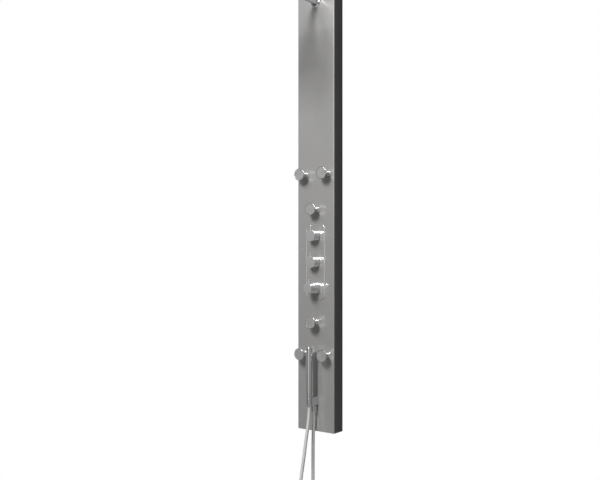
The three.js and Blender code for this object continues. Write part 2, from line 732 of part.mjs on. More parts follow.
place(face, "valve_cover", coverPlate(), satin);
place(face, "mixer_block", mixerBlock(), brass);
for (const [name, z] of VALVES) {
  const tapered = name === "lower";
  const frontRadius = tapered ? TAPER_KNOB_FRONT_RADIUS : KNOB_RADIUS;
  const backRadius = tapered ? TAPER_KNOB_BASE_RADIUS : KNOB_RADIUS;
  const length = tapered ? TAPER_KNOB_LENGTH : KNOB_LENGTH;
  const leverOut = KNOB_BACK + length - (tapered ? TAPER_LEVER_FROM_FRONT : LEVER_FROM_FRONT);
  const spindle = rod(SPINDLE_RADIUS, -CARTRIDGE_TAIL + CARTRIDGE_FLOOR + FIT, SPINDLE_TIP);
  place(face, `cartridge_${name}`, turnedOut(cartridge(), 16), brass, 0, 0, z);
  place(face, `spindle_${name}`, turnedOut(spindle, 12), brass, 0, 0, z);
  place(face, `knob_${name}`, knob(backRadius, frontRadius, length, leverOut), chrome, 0, 0, z);
  place(face, `lever_${name}`, lever(frontRadius), chrome, 0, -leverOut, z);
}

// ---- Hand shower ----
const CONE_TOP_RADIUS = STICK_RADIUS - HOLDER_WALL - FIT;
const CONE_BOTTOM_RADIUS = CONE_TOP_RADIUS - CONE_TAPER;
const STICK_BOTTOM = HOLDER_TOP_HEIGHT + FIT;

// The holder: an arm with a ring for the hose cone, a stem through the panel, and the hose outlet below.
function holder() {
  const ringSeat = [
    [0, HOLDER_BOTTOM_HEIGHT - OVERRUN],
    [CONE_BOTTOM_RADIUS + FIT, HOLDER_BOTTOM_HEIGHT - OVERRUN],
    [CONE_BOTTOM_RADIUS + FIT, HOLDER_BOTTOM_HEIGHT],
    [CONE_TOP_RADIUS + FIT, HOLDER_TOP_HEIGHT],
    [CONE_TOP_RADIUS + FIT, HOLDER_TOP_HEIGHT + OVERRUN],
    [0, HOLDER_TOP_HEIGHT + OVERRUN],
  ];
  const arm = [-STICK_RADIUS, STICK_RADIUS, -STICK_OUT, -FIT, HOLDER_BOTTOM_HEIGHT, HOLDER_TOP_HEIGHT];
  const spigot = rod(
    OUTLET_SPIGOT_RADIUS,
    HOLDER_BOTTOM_HEIGHT - OUTLET_SPIGOT_LENGTH,
    HOLDER_BOTTOM_HEIGHT + OVERRUN,
  );
  return shaped(
    [
      box(...arm),
      turned(rod(STICK_RADIUS, HOLDER_BOTTOM_HEIGHT, HOLDER_TOP_HEIGHT), 24).translate(0, -STICK_OUT, 0),
      turnedOut(rod(HOLDER_STEM_RADIUS, -STEM_TAIL, OVERRUN), 16).translate(0, 0, HOLDER_STEM_HEIGHT),
      turned(spigot, 16).translate(0, -OUTLET_OUT, 0),
    ],
    [turned(ringSeat, 20).translate(0, -STICK_OUT, 0)],
  );
}

// A round bar with a spigot below, and a pocket for the spray insert on the side towards the panel.
function handShower() {
  const top = STICK_BOTTOM + STICK_LENGTH;
  const stick = [
    [0, STICK_BOTTOM - SPIGOT_LENGTH],
    [SPIGOT_RADIUS, STICK_BOTTOM - SPIGOT_LENGTH],
    [SPIGOT_RADIUS, STICK_BOTTOM],
    [STICK_RADIUS, STICK_BOTTOM],
    [STICK_RADIUS, top - STICK_END_ROUND],
    [STICK_RADIUS - STICK_END_ROUND * 0.3, top - STICK_END_ROUND * 0.3],
    [STICK_RADIUS - STICK_END_ROUND, top],
    [0, top],
  ];
  return shaped([turned(stick, 24)], [insertBlank(FIT)]);
}

// The spray insert's outline through the bar, grown by a clearance.
function insertBlank(clearance) {
  const radius = INSERT_WIDTH / 2 + clearance;
  const top = STICK_BOTTOM + STICK_LENGTH - INSERT_BELOW_TOP - INSERT_WIDTH / 2;
  const bottom = top - INSERT_LENGTH + INSERT_WIDTH;
  const shape = new THREE.Shape();
  shape.absarc(0, top, radius, 0, Math.PI, false);
  shape.absarc(0, bottom, radius, Math.PI, 2 * Math.PI, false);
  const seat = STICK_RADIUS - INSERT_DEPTH - clearance;
  return plateOut(shape, -STICK_RADIUS - OVERRUN, -seat, 8);
}

function sprayInsert() {
  const bar = solid(turned(rod(STICK_RADIUS, 0, STICK_BOTTOM + STICK_LENGTH), 24));
  return facets(solid(insertBlank(0)).intersect(bar));
}

function hoseCone() {
  const bottom = HOLDER_BOTTOM_HEIGHT - CONE_STANDS_BELOW;
  const bore = HOSE_RADIUS + FIT;
  const thread = SPIGOT_RADIUS + FIT;
  const hoseEnd = bottom + CONE_HOSE_DEPTH;
  const threadEnd = STICK_BOTTOM - SPIGOT_LENGTH - FIT;
  return ring([
    [bore, bottom],
    [CONE_BOTTOM_RADIUS, bottom],
    [CONE_BOTTOM_RADIUS, HOLDER_BOTTOM_HEIGHT],
    [CONE_TOP_RADIUS, HOLDER_TOP_HEIGHT],
    [thread, HOLDER_TOP_HEIGHT],
    [thread, threadEnd],
    [WATERWAY_RADIUS, threadEnd],
    [WATERWAY_RADIUS, hoseEnd],
    [bore, hoseEnd],
  ]);
}

function outletNut() {
  const top = HOLDER_BOTTOM_HEIGHT - OUTLET_NUT_DROP;
  const bottom = top - OUTLET_NUT_LENGTH;
  const spigotEnd = HOLDER_BOTTOM_HEIGHT - OUTLET_SPIGOT_LENGTH - FIT;
  return ring([
    [HOSE_RADIUS + FIT, bottom],
    [OUTLET_NUT_RADIUS - OUTLET_NUT_CHAMFER, bottom],
    [OUTLET_NUT_RADIUS, bottom + OUTLET_NUT_CHAMFER],
    [OUTLET_NUT_RADIUS, top - OUTLET_NUT_CHAMFER],
    [OUTLET_NUT_RADIUS - OUTLET_NUT_CHAMFER, top],
    [OUTLET_SPIGOT_RADIUS + FIT, top],
    [OUTLET_SPIGOT_RADIUS + FIT, spigotEnd],
    [HOSE_RADIUS + FIT, spigotEnd],
  ]);
}

function hose() {
  const path = new THREE.CatmullRomCurve3(
    HOSE_ROUTE.map(([out, height]) => new THREE.Vector3(0, -out, height)),
  );
  return new THREE.ExtrudeGeometry(roundSection(HOSE_RADIUS, HOSE_SIDES), {
    steps: HOSE_STEPS,
    extrudePath: path,
  });
}

place(face, "holder", holder(), chrome);
place(face, "hand_shower", handShower(), chrome, 0, -STICK_OUT, 0);
place(face, "hand_shower_insert", sprayInsert(), sprayFace, 0, -STICK_OUT, 0);
place(face, "hose_cone", turned(hoseCone(), 20), chrome, 0, -STICK_OUT, 0);
place(face, "outlet_nut", turned(outletNut(), 16), chrome, 0, -OUTLET_OUT, 0);
place(face, "hose", hose(), braid);

// ---- Pipes ----

// A pipe up or down from the mixer that feeds one jet on the way and a pair of jets at its end.
function jetPipe(start, centreHeight, pairHeight) {
  const half = JET_SPACING / 2;
  const boss = (x, z) => pipe([x, -PIPE_OUT, z], [x, -PIPE_OUT - BOSS_LENGTH, z], BOSS_RADIUS);
  return shaped([
    pipe([0, -PIPE_OUT, start], [0, -PIPE_OUT, pairHeight], JET_PIPE_RADIUS),
    pipe([-half, -PIPE_OUT, pairHeight], [half, -PIPE_OUT, pairHeight], JET_PIPE_RADIUS),
    boss(0, centreHeight),
    boss(-half, pairHeight),
    boss(half, pairHeight),
  ]);
}

// The rain shower's feed: up behind the jet pipe, then in to the arm's socket.
function riserPipe() {
  const end = ARM_HEIGHT - SOCKET_RADIUS - FIT;
  const corners = [
    [FEED_OFFSET, -FEED_OUT, MIXER_TOP + FIT],
    [FEED_OFFSET, -FEED_OUT, end - 2 * FEED_SHIFT],
    [0, -PIPE_OUT, end - FEED_SHIFT],
    [0, -PIPE_OUT, end],
  ];
  return bentPipe(corners, FEED_RADIUS, FEED_BEND);
}

// The hose's feed: down behind the jet pipe, then in and out to the holder's stem.
function hoseFeed() {
  const corners = [
    [-FEED_OFFSET, -FEED_OUT, MIXER_BOTTOM - FIT],
    [-FEED_OFFSET, -FEED_OUT, HOLDER_STEM_HEIGHT + 2 * FEED_SHIFT],
    [0, -PIPE_OUT, HOLDER_STEM_HEIGHT + FEED_SHIFT],
    [0, -PIPE_OUT, HOLDER_STEM_HEIGHT],
    [0, STEM_TAIL + FIT, HOLDER_STEM_HEIGHT],
  ];
  return bentPipe(corners, FEED_RADIUS, FEED_BEND);
}

// A supply inlet: out of the mixer's side and back to the wall, where a six-sided union ends it.
function inlet(side) {
  const wall = PANEL_DEPTH - WALL_GAP;
  const x = side * INLET_OFFSET;
  const corners = [
    [side * (MIXER_WIDTH / 2 + FIT), -PIPE_OUT, INLET_HEIGHT],
    [x, -PIPE_OUT, INLET_HEIGHT],
    [x, wall - UNION_LENGTH / 2, INLET_HEIGHT],
  ];
  const union = pipe([x, wall - UNION_LENGTH, INLET_HEIGHT], [x, wall, INLET_HEIGHT], UNION_RADIUS, 6);
  return shaped([bentPipe(corners, INLET_RADIUS, INLET_BEND), union]);
}

place(face, "upper_jet_pipe", jetPipe(MIXER_TOP + FIT, UPPER_CENTRE_HEIGHT, UPPER_PAIR_HEIGHT), copper);
place(face, "lower_jet_pipe", jetPipe(MIXER_BOTTOM - FIT, LOWER_CENTRE_HEIGHT, LOWER_PAIR_HEIGHT), copper);
place(face, "riser_pipe", riserPipe(), copper);
place(face, "hose_feed_pipe", hoseFeed(), copper);
place(face, "hot_inlet", inlet(-1), brass);
place(face, "cold_inlet", inlet(1), brass);

const showerColumn = new THREE.Group();
showerColumn.add(column);
export default showerColumn;
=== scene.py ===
"""Dresses a wall shower column in Blender: a tall steel tray with an overhead rain shower, body jets, valves and a
hand shower on a hose. Metres. X runs to the right as seen from the front, Y runs into the wall, Z is up."""
import bpy
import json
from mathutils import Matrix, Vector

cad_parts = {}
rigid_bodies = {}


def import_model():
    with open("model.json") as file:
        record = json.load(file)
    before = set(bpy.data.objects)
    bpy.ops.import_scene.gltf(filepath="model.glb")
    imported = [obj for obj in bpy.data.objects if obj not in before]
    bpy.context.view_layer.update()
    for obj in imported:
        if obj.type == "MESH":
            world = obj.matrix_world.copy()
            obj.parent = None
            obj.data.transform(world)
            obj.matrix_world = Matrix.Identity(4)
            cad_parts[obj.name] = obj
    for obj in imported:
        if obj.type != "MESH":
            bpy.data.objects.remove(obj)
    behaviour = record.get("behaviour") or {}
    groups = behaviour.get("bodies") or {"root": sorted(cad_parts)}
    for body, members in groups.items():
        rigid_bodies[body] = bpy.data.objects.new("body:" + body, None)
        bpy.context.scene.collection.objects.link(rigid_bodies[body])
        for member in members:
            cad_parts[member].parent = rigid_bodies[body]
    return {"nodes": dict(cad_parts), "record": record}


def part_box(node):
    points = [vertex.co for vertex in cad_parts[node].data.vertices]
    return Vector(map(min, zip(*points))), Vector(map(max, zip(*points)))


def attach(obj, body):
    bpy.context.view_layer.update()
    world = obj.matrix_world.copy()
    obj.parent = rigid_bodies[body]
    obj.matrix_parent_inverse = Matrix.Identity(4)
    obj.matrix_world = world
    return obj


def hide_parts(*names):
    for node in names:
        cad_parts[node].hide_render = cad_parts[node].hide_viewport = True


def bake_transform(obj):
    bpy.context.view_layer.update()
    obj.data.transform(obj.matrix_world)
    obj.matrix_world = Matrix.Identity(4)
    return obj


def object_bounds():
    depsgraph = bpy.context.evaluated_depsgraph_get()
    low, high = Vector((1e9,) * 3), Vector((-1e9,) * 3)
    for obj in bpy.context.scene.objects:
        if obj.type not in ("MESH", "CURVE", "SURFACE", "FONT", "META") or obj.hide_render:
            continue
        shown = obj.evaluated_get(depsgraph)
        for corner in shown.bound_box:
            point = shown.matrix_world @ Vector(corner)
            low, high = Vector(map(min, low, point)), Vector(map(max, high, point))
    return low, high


for leftover in list(bpy.data.objects):
    bpy.data.objects.remove(leftover, do_unlink=True)
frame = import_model()
CAD_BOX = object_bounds()

import json
import math

import bmesh
import numpy as np
from mathutils import Vector

bl_info = {
    "name": "Shower Column",
    "version": (1, 0, 0),
    "blender": (4, 5, 0),
    "location": "View3D > Sidebar > Shower",
    "description": "Dresses a wall shower column piece by piece",
    "category": "Object",
}

MM = 0.001
OUT = np.array([0.0, -1.0, 0.0])  # away from the wall
UP = np.array([0.0, 0.0, 1.0])
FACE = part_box("panel_shell")[0].y  # the panel's front
BODY_OF = {node: body for body, nodes in frame["record"]["behaviour"]["bodies"].items() for node in nodes}
JETS = ("upper_left", "upper_right", "upper_centre", "lower_centre", "lower_left", "lower_right")
VALVES = ("upper", "middle", "lower")

# The hose's route from the outlet to the hand shower, in metres: how far out from the panel's face it lies, and how
# high above the panel's lower edge.
HOSE_ROUTE = (
    (0.0114, 0.0797), (0.0118, 0.050), (0.0136, 0.020), (0.0156, -0.025), (0.0164, -0.085), (0.0165, -0.160),
    (0.0165, -0.240), (0.0162, -0.320), (0.016, -0.384), (0.0196, -0.4022), (0.0299, -0.4176), (0.0453, -0.4279),
    (0.0635, -0.4315), (0.0817, -0.4279), (0.0971, -0.4176), (0.1074, -0.4022), (0.111, -0.384), (0.1095, -0.331),
    (0.1055, -0.281), (0.0995, -0.231), (0.0915, -0.181), (0.0815, -0.131), (0.0685, -0.076), (0.057, -0.024),
    (0.0483, 0.012), (0.042, 0.044), (0.0386, 0.064), (0.037, 0.084), (0.037, 0.1037),
)
HOSE_DIAMETER = 0.011

PLAY = 0.0003  # between a bore and what goes into it
JET_BALL_OUT = 0.020  # from the panel's face to the middle of a jet's ball
RAIN_BALL = 0.009  # radius of the ball that the rain shower hangs from
FACE_STEP = 0.0004  # from a spray face's rim down to its field

# The surround's brightness by how many degrees round to the right of the front it lies.
SURROUND_STOPS = (
    (-180, 0.02), (-150, 0.10), (-115, 0.40), (-98, 0.50), (-66, 0.45), (-54, 0.18), (-28, 0.14), (-12, 0.30),
    (14, 0.45), (60, 0.42), (85, 0.36), (112, 0.16), (128, 0.02), (180, 0.02),
)
LAMP_DISTANCE = 3.0
WHITE = (1, 1, 1, 1)


# ---- Surfaces worked out from outlines and paths ----


def unit(vectors):
    """Each vector divided by its length."""
    return vectors / np.maximum(np.linalg.norm(vectors, axis=-1, keepdims=True), 1e-12)


def distances(points):
    """How far along a row of points each of them lies."""
    return np.concatenate([[0], np.cumsum(np.linalg.norm(np.diff(points, axis=0), axis=1))])


def angles_round(sides):
    """Evenly spaced angles, once round from 0."""
    return np.linspace(0, 2 * math.pi, sides, endpoint=False)


def circle(radius, sides):
    """Points round a circle."""
    return radius * np.stack([np.cos(angles_round(sides)), np.sin(angles_round(sides))], axis=1)


def spokes(heading, sides):
    """Unit vectors square to each heading, all the way round: cos a * across + sin a * over, where across is +X and
    over is the heading crossed with it."""
    across = np.broadcast_to([1.0, 0.0, 0.0], heading.shape)
    over = np.cross(heading, across)
    cos, sin = circle(1, sides).T[:, None, :, None]
    return across[:, None] * cos + over[:, None] * sin


def arc(radius, centre, start, end, count):
    """Outline corners on a ball: each is the sine and the cosine of an angle, in degrees, times the radius."""
    angles = np.radians(np.linspace(start, end, count))
    return [(radius * math.sin(a), centre + radius * math.cos(a), 0.002) for a in angles]


def outline(corners, closed=False, steps=6):
    """An outline of (radius, distance, ease) corners, in metres. Each corner gives way to the parabola that touches its
    two sides at `ease` from it, or at 0.49 of the shorter side. Returns the points and their unit tangents."""
    given = np.array(corners, float)
    place, ease = given[:, :2], given[:, 2]
    before, after = np.roll(place, 1, axis=0), np.roll(place, -1, axis=0)
    if not closed:
        before, after, ease, middle = before[1:-1], after[1:-1], ease[1:-1], place[1:-1]
    else:
        middle = place
    back, ahead = before - middle, after - middle
    room = 0.49 * np.minimum(np.linalg.norm(back, axis=1), np.linalg.norm(ahead, axis=1))
    reach = np.minimum(np.maximum(ease, 0.00002), room)[:, None]
    start, end = middle + unit(back) * reach, middle + unit(ahead) * reach
    s = np.linspace(0, 1, steps)[None, :, None]
    curve = (1 - s) ** 2 * start[:, None] + 2 * s * (1 - s) * middle[:, None] + s**2 * end[:, None]
    slope = (1 - s) * (middle - start)[:, None] + s * (end - middle)[:, None]
    points, tangents = curve.reshape(-1, 2), slope.reshape(-1, 2)
    if not closed:
        points = np.concatenate([place[:1], points, place[-1:]])
        tangents = np.concatenate([place[1:2] - place[:1], tangents, place[-1:] - place[-2:-1]])
    return points, unit(tangents)


def straight(origin, axis):
    """A straight path: origin plus distance times axis, always heading along the axis."""
    origin, axis = np.array(origin, float), np.array(axis, float)
    return lambda s: (origin + s[:, None] * axis, np.broadcast_to(axis, (len(s), 3)))


def bent_down(origin, reach, radius):
    """A path out from the wall that turns down: straight for `reach`, round a quarter circle, then straight."""

    def path(s):
        turn = np.clip((s - reach) / radius, 0, math.pi / 2)
        out = np.minimum(s, reach) + radius * np.sin(turn)
        down = radius * (1 - np.cos(turn)) + np.maximum(s - reach - radius * math.pi / 2, 0)
        places = np.array(origin, float) + out[:, None] * OUT - down[:, None] * UP
        return places, np.cos(turn)[:, None] * OUT - np.sin(turn)[:, None] * UP

    return path


def carried(profile, path, sides=64, closed=False, flutes=0, flute_depth=0.0):
    """A profile carried round a path: at distance s along the path and angle a round it, the point is path(s) plus the
    radius times the spoke at a. Flutes take up to `flute_depth` off the widest part, as the fourth power of the cosine
    of half their number times the angle."""
    points, tangents = profile
    places, heading = path(points[:, 1])
    spoke = spokes(heading, sides)
    radius = points[:, 0][:, None] * np.ones(sides)
    if flutes:
        dips = np.cos(flutes * angles_round(sides) / 2) ** 4
        radius = radius - flute_depth * dips * (radius > 0.98 * radius.max())
    rows = places[:, None] + radius[:, :, None] * spoke
    normals = tangents[:, 1][:, None, None] * spoke - tangents[:, 0][:, None, None] * heading[:, None]
    return skin(rows, normals, distances(points), closed)


def skin(rows, normals, along, closed=False):
    """Faces over a grid of rows that each go once round: a four-sided face between neighbours, and a fan of triangles
    at an end row whose points fall together. A closed grid joins its last row to its first. The faces are turned to
    point out, which the sign of the enclosed volume tells."""
    m, n = rows.shape[:2]
    pole = [not closed and np.ptp(rows[i], axis=0).max() < 1e-9 for i in (0, -1)]
    keep = np.ones((m, n), bool)
    keep[0, 1:] = not pole[0]
    keep[-1, 1:] = not pole[1]
    number = (np.cumsum(keep.ravel()) - 1).reshape(m, n)
    for end, flat in zip((0, -1), pole):
        if flat:
            number[end] = number[end, 0]
    right = np.roll(number, -1, axis=1)
    lower = slice(None) if closed else slice(0, m - 1)
    quads = np.stack([number, right, np.roll(right, -1, axis=0), np.roll(number, -1, axis=0)], axis=-1)[lower]
    u0 = np.broadcast_to(np.arange(n) / n, (m, n))
    v0 = np.broadcast_to(along[:, None], (m, n))
    u1, v1 = u0 + 1 / n, np.roll(v0, -1, axis=0)
    uv = np.stack([np.stack(pair, -1) for pair in ((u0, v0), (u1, v0), (u1, v1), (u0, v1))], axis=2)[lower]
    body = slice(1 if pole[0] else 0, len(quads) - 1 if pole[1] else len(quads))
    faces, corners = [quads[body].reshape(-1, 4)], [uv[body].reshape(-1, 4, 2)]
    for flat, end, order in zip(pole, (0, -1), ([0, 2, 3], [0, 1, 2])):
        if flat:
            faces.append(quads[end][:, order])
            corners.append(uv[end][:, order])
    points, facing = rows[keep], normals[keep]
    a, b, c, d = (points[corner] - points[0] for corner in quads.reshape(-1, 4).T)
    if (np.cross(a, b) * c).sum() + (np.cross(a, c) * d).sum() < 0:
        faces, corners = ([g[:, ::-1] for g in groups] for groups in (faces, corners))
    out = np.zeros_like(points)
    for f in faces:
        p = points[f]
        flat = np.cross(p[:, 1] - p[:, 0], p[:, 2] - p[:, 0]) + np.cross(p[:, 2] - p[:, 0], p[:, -1] - p[:, 0])
        for k in range(f.shape[1]):
            np.add.at(out, f[:, k], flat)
    if (out * facing).sum() < 0:
        facing = -facing
    return points, faces, corners, facing


def round_grid(reach, pitch):
    """Centres in rings round a middle one: ring k lies k pitches out and holds 6 k centres."""
    rings = [np.zeros((1, 2))]
    for k in range(1, int(reach / pitch + 1e-6) + 1):
        a = 2 * math.pi * (np.arange(6 * k) + 0.5 * (k % 2)) / (6 * k)
        rings.append(k * pitch * np.stack([np.cos(a), np.sin(a)], axis=1))
    return np.concatenate(rings)


def studs(centres, axis, radius, height, sides=10):
    """Soft nozzles: one small stepped dome at each centre, with a dimple in its tip. The same grid of rows is added to
    every centre at once, and each dome is closed by a fan at its tip and at its foot."""
    axis = np.array(axis, float)
    side = unit(np.cross(axis, [1.0, 0.0, 0.0] if abs(axis[0]) < 0.9 else UP))
    over = np.cross(axis, side)
    shape = np.array([[0, -0.4], [1, -0.4], [1, 0.05], [0.8, 0.7], [0.62, 1.0], [0.36, 1.0], [0.3, 0.55], [0, 0.5]])
    cos, sin = circle(1, sides).T[:, :, None]
    spoke = side * cos + over * sin
    rows = shape[:, 0][:, None, None] * radius * spoke + shape[:, 1][:, None, None] * height * axis
    slope = unit(np.gradient(shape * [radius, height], axis=0))
    normals = slope[:, 1][:, None, None] * spoke - slope[:, 0][:, None, None] * axis
    points, faces, corners, facing = skin(rows, normals, np.zeros(len(shape)))
    count = len(centres)
    shift = (np.arange(count) * len(points))[:, None, None]
    return (
        (np.asarray(centres)[:, None] + points).reshape(-1, 3),
        [(f[None] + shift).reshape(-1, f.shape[1]) for f in faces],
        [np.tile(c, (count, 1, 1)) for c in corners],
        np.tile(facing, (count, 1)),
    )


def through(points, per_stretch):
    """A centripetal Catmull-Rom curve: between two points it is the cubic whose slopes at both come from the
    neighbours, each weighed by the square root of its distance."""
    p = np.asarray(points, float)
    p = np.concatenate([[2 * p[0] - p[1]], p, [2 * p[-1] - p[-2]]])
    gap = np.sqrt(np.linalg.norm(np.diff(p, axis=0), axis=1))[:, None]
    a, b, c, d = p[:-3], p[1:-2], p[2:-1], p[3:]
    g0, g1, g2 = gap[:-2], gap[1:-1], gap[2:]
    m1 = ((b - a) / g0 - (c - a) / (g0 + g1) + (c - b) / g1) * g1
    m2 = ((c - b) / g1 - (d - b) / (g1 + g2) + (d - c) / g2) * g1
    s = np.linspace(0, 1, per_stretch, endpoint=False)[None, :, None]
    b, c, m1, m2 = (x[:, None] for x in (b, c, m1, m2))
    curve = b + m1 * s + (3 * (c - b) - 2 * m1 - m2) * s**2 + (2 * (b - c) + m1 + m2) * s**3
    return np.concatenate([curve.reshape(-1, 3), p[-2:-1]])


def vertices(node):
    """The points of a CAD solid."""
    mesh = frame["nodes"][node].data
    points = np.zeros(3 * len(mesh.vertices))
    mesh.vertices.foreach_get("co", points)
    return points.reshape(-1, 3)


def front_radius(node):
    """Half the width of a CAD solid's foremost points."""
    points = vertices(node)
    ahead = points[points[:, 1] < points[:, 1].min() + 0.0014]
    return float(np.ptp(ahead[:, 0]) / 2)


# ---- Putting a piece into the scene ----


def put(name, node, mesh, coat, rides=True):
    """Makes the object and coats it. It rides on its node's body, and stands for the node if it is named after it."""
    made = bpy.data.objects.new(name, mesh)
    bpy.context.scene.collection.objects.link(made)
    mesh.materials.clear()
    mesh.materials.append(finish(coat))
    if rides:
        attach(made, BODY_OF[node])
    if name == "fine_" + node:
        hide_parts(node)
    return made


def put_surface(name, node, surface, coat, rides=True):
    """Puts in a surface, shaded smoothly by its own normals, with a UV map of turns and metres."""
    points, faces, corners, facing = surface
    mesh = bpy.data.meshes.new(name)
    mesh.from_pydata(points.tolist(), [], [f for group in faces for f in group.tolist()])
    uv = np.concatenate([c.reshape(-1, 2) for c in corners])
    mesh.uv_layers.new(name="UVMap").data.foreach_set("uv", uv.ravel())
    mesh.polygons.foreach_set("use_smooth", np.ones(len(mesh.polygons), bool))
    mesh.normals_split_custom_set_from_vertices(facing.tolist())
    return put(name, node, mesh, coat, rides)


def turned(node, corners, origin, axis, sides, coat, closed=False, steps=6, **flutes):
    """A turned piece that stands for a CAD node: an outline carried round the line from origin along axis."""
    surface = carried(outline(corners, closed, steps), straight(origin, axis), sides, closed, **flutes)
    put_surface("fine_" + node, node, surface, coat)


def nozzles(name, node, centres, axis, radius, height):
    """Soft nozzles at the centres, which ride with a CAD node."""
    put_surface("nozzles_" + name, node, studs(centres, axis, radius, height), "nozzle")


def eased_copy(node, coat, edge=0.3, steps=2, flat=30):
    """A copy of a CAD solid with its doubles merged, its flat faces joined, and every edge sharper than `flat` degrees
    eased by a round of `edge` millimetres."""
    given = frame["nodes"][node].data
    corners = np.zeros(len(given.loops), int)
    given.loops.foreach_get("vertex_index", corners)
    mesh = bpy.data.meshes.new("fine_" + node)
    mesh.from_pydata(vertices(node).tolist(), [], corners.reshape(-1, 3).tolist())
    work = bmesh.new()
    work.from_mesh(mesh)
    bmesh.ops.remove_doubles(work, verts=work.verts, dist=1e-6)
    bmesh.ops.dissolve_limit(work, angle_limit=math.radians(0.5), verts=work.verts, edges=work.edges)
    work.to_mesh(mesh)
    work.free()
    mesh.polygons.foreach_set("use_smooth", np.ones(len(mesh.polygons), bool))
    mesh.set_sharp_from_angle(angle=math.radians(flat))
    made = put("fine_" + node, node, mesh, coat)
    if edge:
        bevel = made.modifiers.new("Eased edges", "BEVEL")
        bevel.width = edge * MM
        bevel.segments = steps
        bevel.limit_method = "ANGLE"
        bevel.angle_limit = math.radians(flat)
        bevel.harden_normals = True
        bevel.miter_outer = "MITER_ARC"


# ---- Finishes ----


class Tree:
    """A short way to add shader nodes to a node tree and join them."""

    def __init__(self, tree):
        self.tree = tree
        tree.nodes.clear()

    def add(self, kind, *links, **values):
        """A node of a kind, with inputs set or linked by name, and properties set where no input has that name."""
        node = self.tree.nodes.new("ShaderNode" + kind)
        for name, value in values.items():
            if hasattr(node, name):
                setattr(node, name, value)
            else:
                self.feed(node, name.replace("_", " "), value)
        for index, value in enumerate(links):
            if value is not None:
                self.feed(node, index, value)
        return node

    def feed(self, node, socket, value):
        """Links an output to an input, or sets the input to a value."""
        inlet = node.inputs[socket]
        if isinstance(value, bpy.types.NodeSocket):
            self.tree.links.new(value, inlet)
        else:
            inlet.default_value = value

    def sum(self, operation, a, b=0.0, c=0.0):
        """One step of arithmetic."""
        return self.add("Math", a, b, c, operation=operation).outputs[0]

    def plus(self, a, b):
        """Two numbers added."""
        return self.sum("ADD", a, b)

    def times(self, a, b):
        """Two numbers multiplied."""
        return self.sum("MULTIPLY", a, b)

    def off(self, value, centre):
        """How far a number is from a centre."""
        return self.sum("ABSOLUTE", self.sum("SUBTRACT", value, centre))

    def fade(self, value, start, end, low=0.0, high=1.0):
        """Goes from low to high as the value goes from start to end, and stays there beyond them."""
        return self.add("MapRange", value, start, end, low, high).outputs[0]

    def between(self, share, low, high):
        """The number that lies `share` of the way from low to high."""
        return self.fade(share, 0.0, 1.0, low, high)

    def blend(self, share, first, second):
        """The colour that lies `share` of the way from the first to the second."""
        node = self.add("Mix", data_type="RGBA")
        for socket, value in ((0, share), (6, first), (7, second)):
            self.feed(node, socket, value)
        return node.outputs[2]

    def scaled(self, vector, factors):
        """A vector multiplied by another."""
        return self.add("VectorMath", vector, factors, operation="MULTIPLY").outputs[0]

    def noise(self, vector, scale, detail=2.0, roughness=0.5):
        """Noise between 0 and 1."""
        return self.add("TexNoise", Vector=vector, Scale=scale, Detail=detail, Roughness=roughness).outputs[0]

    def seen(self):
        """1 for what the eye sees, straight, in mirrors and through glass, and 0 for the light that falls on things."""
        path = self.add("LightPath").outputs
        mirrored = self.sum("MAXIMUM", path["Is Glossy Ray"], path["Is Transmission Ray"])
        return self.sum("MAXIMUM", path["Is Camera Ray"], mirrored)


def effect(name, inputs, outputs):
    """A shader node group on a vector, with inputs by name and value, and its named outputs. Returns the group, the
    tree to fill, the inputs and a function that feeds an output."""
    group = bpy.data.node_groups.new(name, "ShaderNodeTree")
    group.interface.new_socket("Vector", in_out="INPUT", socket_type="NodeSocketVector")
    for label, value in inputs.items():
        group.interface.new_socket(label, in_out="INPUT", socket_type="NodeSocketFloat").default_value = value
    for label in outputs:
        group.interface.new_socket(label, in_out="OUTPUT", socket_type="NodeSocketFloat")
    tree = Tree(group)
    given, out = group.nodes.new("NodeGroupInput").outputs, group.nodes.new("NodeGroupOutput")
    return group, tree, given, lambda label, value: tree.feed(out, label, value)


def grain_group():
    """Brushed grain: noise drawn out along Z, in fine and in broad streaks."""
    group, t, given, give = effect("Brushed grain", {"Across": 900.0, "Along": 5.0}, ("Fine", "Broad"))
    stretch = t.add("CombineXYZ", given["Across"], given["Across"], given["Along"]).outputs[0]
    fine = t.scaled(given["Vector"], stretch)
    give("Fine", t.noise(fine, 1.0, 3.0, 0.6))
    give("Broad", t.noise(t.scaled(fine, (0.06, 0.06, 0.3)), 1.0))
    return group


def marks_group():
    """Water marks: the dried rims of scattered drops, and a soft film in patches between them."""
    group, t, given, give = effect("Water marks", {"Size": 0.006, "Cover": 0.35}, ("Rims", "Film"))
    bend = t.add("TexNoise", Vector=given["Vector"], Scale=140.0, Detail=1.0).outputs[1]
    moved = t.add("VectorMath", bend, (0.0015,) * 3, given["Vector"], operation="MULTIPLY_ADD").outputs[0]
    cells = t.add("TexVoronoi", Vector=moved, Scale=t.sum("DIVIDE", 1.0, given["Size"]), Randomness=1.0).outputs
    spot = t.add("SeparateColor", cells["Color"]).outputs
    rim = t.sum("COMPARE", cells["Distance"], t.between(spot[1], 0.12, 0.42), 0.035)
    give("Rims", t.times(rim, t.sum("LESS_THAN", spot[0], given["Cover"])))
    give("Film", t.fade(t.noise(given["Vector"], 22.0, 4.0, 0.6), 0.45, 0.75))
    return group


